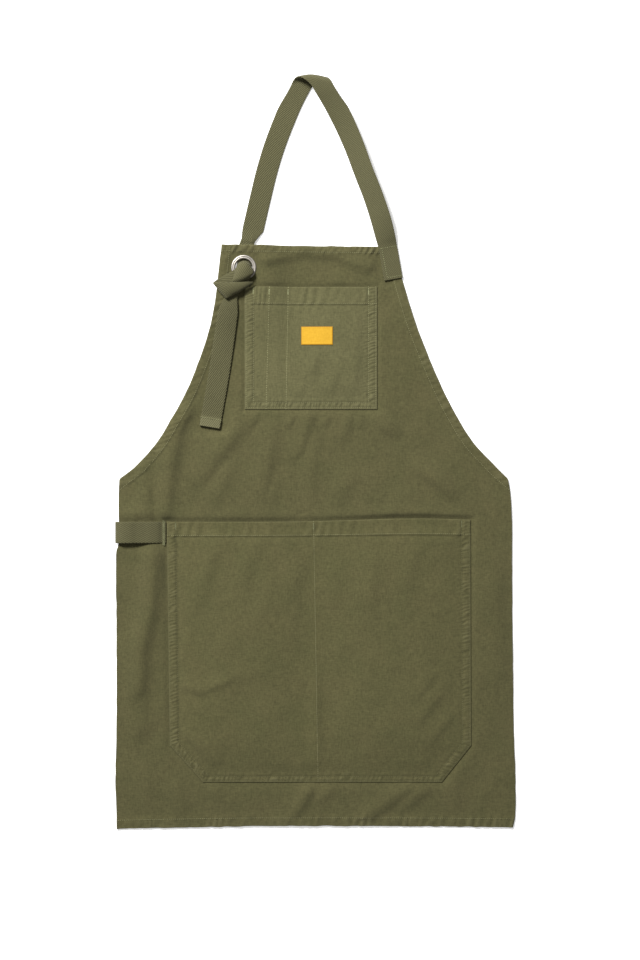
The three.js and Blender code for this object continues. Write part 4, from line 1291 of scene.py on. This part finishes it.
threadLook = {
    "patchScale": 170.0, "plyScale": 2600.0, "plyDetail": 1.0, "bump": 0.4, "depth": 0.1,
    "shader": {"Roughness": 0.7, "Specular IOR Level": 0.3},
}
weaveLook = {
    "slubScale": 520.0, "slubStretch": ((1, 0.3, 1), (0.3, 1, 1)), "slubDetail": 3.0,
    "mottleScale": 21.0, "mottleDetail": 5.0, "mottleRoughness": 0.62,
}
twillLook = {"strayScale": 260.0, "strayDetail": 2.0, "stray": 0.55, "yarnsPerRib": 4, "yarn": 0.18}
middleRange, mottleRange = (0.3, 0.7), (0.32, 0.68)


def calc(tree, operation, *values):
    return put(tree, "ShaderNodeMath", dict(enumerate(values)), operation=operation).outputs[0]


def noise(tree, where, scale, detail=3.0):
    return put(tree, "ShaderNodeTexNoise", {"Vector": where, "Scale": scale, "Detail": detail}).outputs[0]


def mixColours(tree, factor, first, second, blend="MIX"):
    inputs = {0: factor, 6: first, 7: second}  # the mix node's colour sockets
    return put(tree, "ShaderNodeMix", inputs, data_type="RGBA", blend_type=blend).outputs[2]


def spread(tree, value, start, end, low=0.0, high=1.0):
    return put(tree, "ShaderNodeMapRange", {0: value, 1: start, 2: end, 3: low, 4: high}).outputs[0]


def attribute(tree, name):
    return put(tree, "ShaderNodeAttribute", attribute_name=name).outputs["Fac"]


def objectPlace(tree):
    return put(tree, "ShaderNodeTexCoord").outputs["Object"]


def clothPlace(tree):  # the lengthwise map of webbing and label
    return put(tree, "ShaderNodeUVMap", uv_map="cloth").outputs[0]


def grouped(tree, group, **inputs):
    return put(tree, "ShaderNodeGroup", inputs, node_tree=group).outputs


def shaderGroup(name, inputs, outputs):
    tree = bpy.data.node_groups.new(name, "ShaderNodeTree")
    for socket, kind in inputs:
        tree.interface.new_socket(socket, in_out="INPUT", socket_type="NodeSocket" + kind)
    for socket in outputs:
        tree.interface.new_socket(socket, in_out="OUTPUT", socket_type="NodeSocketFloat")
    return tree, put(tree, "NodeGroupInput").outputs


def weaveGroup():  # plain weave: crossing threads with thick and thin places
    inputs = [("Vector", "Vector"), ("Pitch", "Float"), ("Seed", "Float")]
    tree, given = shaderGroup("plainWeave", inputs, ["Height", "Grain", "Mottle"])

    def seeded(where, scale, detail, **more):
        values = {"Vector": where, "W": given["Seed"], "Scale": scale, "Detail": detail, **more}
        return put(tree, "ShaderNodeTexNoise", values, noise_dimensions="4D").outputs[0]

    axes = put(tree, "ShaderNodeSeparateXYZ", {0: given["Vector"]}).outputs
    waves = []
    for axis in ("X", "Y"):
        turns = calc(tree, "DIVIDE", axes[axis], given["Pitch"])
        waves.append(calc(tree, "SINE", calc(tree, "MULTIPLY", turns, math.pi)))
    height = calc(tree, "MULTIPLY_ADD", calc(tree, "MULTIPLY", *waves), 0.5, 0.5)
    slubs = []
    for stretch in weaveLook["slubStretch"]:
        line = put(tree, "ShaderNodeMapping", {"Vector": given["Vector"], "Scale": stretch}).outputs[0]
        slubs.append(seeded(line, weaveLook["slubScale"], weaveLook["slubDetail"]))
    grain = calc(tree, "MULTIPLY", calc(tree, "ADD", *slubs), 0.5)
    mottle = seeded(given["Vector"], weaveLook["mottleScale"], weaveLook["mottleDetail"],
                    Roughness=weaveLook["mottleRoughness"])
    height = calc(tree, "ADD", height, grain)
    put(tree, "NodeGroupOutput", {"Height": height, "Grain": grain, "Mottle": mottle})
    return tree


def twillGroup():  # slanting ribs of the webbing, on its own lengthwise map
    inputs = [("Vector", "Vector"), ("Pitch", "Float"), ("Slant", "Float")]
    tree, given = shaderGroup("twillRibs", inputs, ["Height", "Rib"])
    axes = put(tree, "ShaderNodeSeparateXYZ", {0: given["Vector"]}).outputs
    stray = noise(tree, given["Vector"], twillLook["strayScale"], twillLook["strayDetail"])
    leaning = calc(tree, "ADD", axes["Y"], calc(tree, "MULTIPLY", axes["X"], given["Slant"]))
    turns = calc(tree, "DIVIDE", leaning, given["Pitch"])
    turns = calc(tree, "ADD", turns, calc(tree, "MULTIPLY", stray, twillLook["stray"]))
    rib = calc(tree, "SINE", calc(tree, "MULTIPLY", turns, 2 * math.pi))
    rib = calc(tree, "MULTIPLY_ADD", rib, 0.5, 0.5)
    across = calc(tree, "DIVIDE", axes["X"], given["Pitch"])
    yarns = calc(tree, "SINE", calc(tree, "MULTIPLY", across, twillLook["yarnsPerRib"] * 2 * math.pi))
    height = calc(tree, "ADD", rib, calc(tree, "MULTIPLY", yarns, twillLook["yarn"]))
    put(tree, "NodeGroupOutput", {"Height": height, "Rib": rib})
    return tree


def newMaterial(name, constants):
    material = bpy.data.materials.new(name)
    material.use_nodes = True
    tree = material.node_tree
    shader = tree.nodes["Principled BSDF"]
    for key, value in constants.items():
        shader.inputs[key].default_value = value
    return material, tree, shader


def dress(tree, shader, colour, height, look):  # a material's colour and bump
    bump = put(tree, "ShaderNodeBump", {
        "Height": height, "Strength": look["bump"], "Distance": look["depth"] * mm,
    })
    tree.links.new(colour, shader.inputs["Base Color"])
    tree.links.new(bump.outputs[0], shader.inputs["Normal"])


def clothFinish(name, weave, look):
    material, tree, shader = newMaterial(name, fabric)
    cloth = grouped(tree, weave, Vector=objectPlace(tree), Pitch=look["pitch"] * mm, Seed=look["seed"])
    wear = attribute(tree, "wear")
    base = mixColours(tree, spread(tree, cloth["Mottle"], *mottleRange), look["shade"], look["light"])
    grained = mixColours(tree, spread(tree, cloth["Grain"], *middleRange), look["thin"], look["thick"])
    tinted = mixColours(tree, 1.0, base, grained, "MULTIPLY")
    # above zero the cloth lightens for fading, rubbing and painted light on shaded rims; below zero it
    # takes painted shade in ditches and troughs
    rubAndShading = calc(tree, "MULTIPLY", calc(tree, "MAXIMUM", wear, 0.0), look["fade"])
    ditch = calc(tree, "MULTIPLY", calc(tree, "MINIMUM", wear, 0.0), -look["keep"])
    faded = mixColours(tree, rubAndShading, tinted, look["wornAndLit"])
    dress(tree, shader, mixColours(tree, ditch, faded, look["paintedShadeColour"]), cloth["Height"], look)
    return material


def webbingFinish(name, twill, weave, look):
    material, tree, shader = newMaterial(name, look["shader"])
    where, pitch = clothPlace(tree), look["pitch"] * mm
    ribs = grouped(tree, twill, Vector=where, Pitch=pitch, Slant=look["slant"])
    cloth = grouped(tree, weave, Vector=where, Pitch=pitch)
    base = mixColours(tree, spread(tree, cloth["Mottle"], *mottleRange), look["shade"], look["light"])
    centred = calc(tree, "MULTIPLY", calc(tree, "SUBTRACT", ribs["Rib"], 0.5), attribute(tree, "ribs"))
    ribbed = mixColours(tree, calc(tree, "ADD", centred, 0.5), base, look["rib"])
    # painted light: the tail's turned-back end is made lighter as if it faced the light
    pale = calc(tree, "MULTIPLY", attribute(tree, "pale"), look["endLight"])
    dress(tree, shader, mixColours(tree, pale, ribbed, look["end"]), ribs["Height"], look)
    return material


def nickelFinish(name, look):
    material, tree, shader = newMaterial(name, {"Metallic": 1.0})
    where = objectPlace(tree)
    cloudy = noise(tree, where, look["cloudScale"])
    colour = mixColours(tree, spread(tree, cloudy, *middleRange), look["dull"], look["bright"])
    tree.links.new(spread(tree, cloudy, *middleRange, *look["gloss"]), shader.inputs["Roughness"])
    dress(tree, shader, colour, noise(tree, where, look["brushScale"]), look)
    return material


def labelFinish(name, weave, look):
    material, tree, shader = newMaterial(name, look["shader"])
    where = clothPlace(tree)
    cloth = grouped(tree, weave, Vector=where, Pitch=look["pitch"] * mm)
    base = mixColours(tree, spread(tree, cloth["Grain"], *middleRange), look["dark"], look["light"])
    axes = put(tree, "ShaderNodeSeparateXYZ", {0: where}).outputs
    inX = calc(tree, "SUBTRACT", label["width"] / 2 * mm, calc(tree, "ABSOLUTE", axes["X"]))
    inY = calc(tree, "SUBTRACT", label["height"] / 2 * mm, calc(tree, "ABSOLUTE", axes["Y"]))
    inward = calc(tree, "MINIMUM", inX, inY)
    # a darker woven edge, with painted shade along it
    border = spread(tree, inward, look["edgeFrom"] * mm, look["edgeTo"] * mm, 0.0, look["edgeShare"])
    dress(tree, shader, mixColours(tree, border, base, look["edge"]), cloth["Height"], look)
    return material


def threadFinish(name, dark, light):
    material, tree, shader = newMaterial(name, threadLook["shader"])
    where = objectPlace(tree)
    patchy = spread(tree, noise(tree, where, threadLook["patchScale"]), *middleRange)
    plied = noise(tree, where, threadLook["plyScale"], threadLook["plyDetail"])
    dress(tree, shader, mixColours(tree, patchy, onScreen(*dark), onScreen(*light)), plied, threadLook)
    return material


weave, twill = weaveGroup(), twillGroup()
canvas = clothFinish("oliveCanvas", weave, canvasLook)
chestCanvas = clothFinish("fadedCanvas", weave, chestLook)
lowerCanvas = clothFinish("pocketCanvas", weave, lowerLook)
tape = webbingFinish("oliveTwillTape", twill, weave, webbingLook)
nickel = nickelFinish("satinNickel", nickelLook)
labelCloth = labelFinish("labelWeave", weave, patchLook)
seamThread = threadFinish("seamThread", (112, 110, 78), (140, 137, 100))
clothThread = threadFinish("clothThread", (80, 78, 50), (106, 103, 71))
slotThread = threadFinish("slotThread", (130, 129, 93), (162, 160, 118))
tackThread = threadFinish("tackThread", (124, 127, 90), (150, 151, 112))
loopThread = threadFinish("loopThread", (104, 105, 74), (128, 129, 94))
labelThread = threadFinish("labelThread", (150, 108, 30), (176, 128, 36))
print("finishes made")

body = buildPanel(canvas)
print("panel laid,", len(body.data.polygons), "faces")
chestPocket = buildPocket("chestPocket", chest, chestCanvas)
lowerPocket = buildPocket("lowerPocket", lower, lowerCanvas)
print("pockets sewn on,", len(lowerPocket.data.polygons), "faces in the lower one")
strapRibbons = [neckLoop(), throughEyelet(), knotBand(), tail()]
neckStrap, strapLength = buildWebbing("neckStrap", strapRibbons, strap["ribs"], tape)
loop, loopLength = buildWebbing("towelLoop", [loopRibbon()], towelLoop["ribs"], tape)
print("webbing laid,", round(strapLength), "mm of strap and", round(loopLength), "mm of loop")
ring, washer = buildRing(nickel), buildWasher(nickel)
badge = buildLabel(labelCloth)
print("eyelet and label set")

tree, names = stitchTree()
sewing = {
    "panelStitches": (panelSeams(), seamLook, seamThread),
    "chestStitches": (onPocket(chest, [mouthSeam(chest)] + outlineSeams(chest)), seamLook, seamThread),
    "slotStitches": (onPocket(chest, compartmentSeams(chest)), slotLook, slotThread),
    "lowerStitches": (onPocket(lower, outlineSeams(lower)), seamLook, clothThread),
    "dividerStitches": (
        onPocket(lower, compartmentSeams(lower) + [mouthSeam(lower)]), seamLook, seamThread,
    ),
    "strapStitches": (strapSeams(), seamLook, tackThread),
    "chestTacks": (pocketTacks(chest), tackLook, tackThread),
    "lowerTacks": (pocketTacks(lower), tackLook, loopThread),
    "loopTack": (loopTack(), wideTackLook, loopThread),
    "labelStitches": (labelSeam(), labelLook, labelThread),
}
sewn = {name: sewSeams(name, *rest, tree, names) for name, rest in sewing.items()}
print("seams stitched,", sum(len(piece.data.polygons) for piece in sewn.values()), "faces of thread")


# What each piece stands for and rides on

standsFor = [
    (body, "apron_body", "canvas"),
    (chestPocket, "chest_pocket", "canvas"),
    (lowerPocket, "lower_pocket", "canvas"),
    (neckStrap, "neck_strap", "webbing"),
    (loop, "towel_loop", "webbing"),
    (ring, "eyelet_ring", "nickel"),
    (washer, "eyelet_washer", "nickel"),
    (badge, "label", "label_weave"),
]
for piece, solid, slot in standsFor:
    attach(piece, "root")
    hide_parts(solid)
for name, piece in sewn.items():
    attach(piece, "root")

# Floor, light and camera

studio = {
    "floorSize": 60.0, "floorZ": -0.0004, "floorDark": 0.9, "floorLight": 0.93, "floorGlow": 0.45,
    "floorPatches": 3.0, "floorDetail": 2.0,
    "fill": 0.28, "key": 312.0, "keySize": 1.3, "keyFrom": (-1.7, 2.55, 2.8), "keyAt": (0.0, 0.0, 0.0),
    "cameraHeight": 3.2, "cameraX": 0.0067, "cameraY": -0.0418, "frameHeight": 1.44,
    "sensor": 36, "farthest": 50,
}


def floorFinish():
    material, tree, shader = newMaterial("paleFloor", {
        "Roughness": 0.9, "Specular IOR Level": 0.1,
        "Emission Color": grey(1), "Emission Strength": studio["floorGlow"],
    })
    where = objectPlace(tree)
    faint = noise(tree, where, studio["floorPatches"], studio["floorDetail"])
    colour = mixColours(tree, faint, grey(studio["floorDark"]), grey(studio["floorLight"]))
    tree.links.new(colour, shader.inputs["Base Color"])
    return material


half, floorLevel = studio["floorSize"] / 2 / mm, studio["floorZ"] / mm
floorCorners = [(x * half, y * half, floorLevel) for x, y in ((-1, -1), (1, -1), (1, 1), (-1, 1))]
floor = meshPiece("studioFloor", floorCorners, [(0, 1, 2, 3)], floorFinish())

world = bpy.data.worlds.new("studioWorld")
bpy.context.scene.world = world
world.use_nodes = True
sky = world.node_tree.nodes["Background"].inputs
sky["Color"].default_value = grey(1)
sky["Strength"].default_value = studio["fill"]

keyLight = bpy.data.lights.new("softKey", "AREA")
keyLight.shape = "DISK"
keyLight.size = studio["keySize"]
keyLight.energy = studio["key"]
key = placed("softKey", keyLight)
key.location = studio["keyFrom"]
aim = np.array(studio["keyAt"]) - np.array(studio["keyFrom"])
tilt = math.atan2(math.hypot(aim[0], aim[1]), -aim[2])
key.rotation_euler = (tilt, 0, math.atan2(aim[0], -aim[1]) + math.pi)

lens = bpy.data.cameras.new("overhead")
lens.sensor_width = studio["sensor"]
lens.lens = lens.sensor_width * studio["cameraHeight"] / studio["frameHeight"]
lens.clip_end = studio["farthest"]
camera = placed("overhead", lens)
camera.location = (studio["cameraX"], studio["cameraY"], studio["cameraHeight"])
bpy.context.scene.camera = camera
bpy.context.scene.view_settings.view_transform = "Standard"
print("studio set")
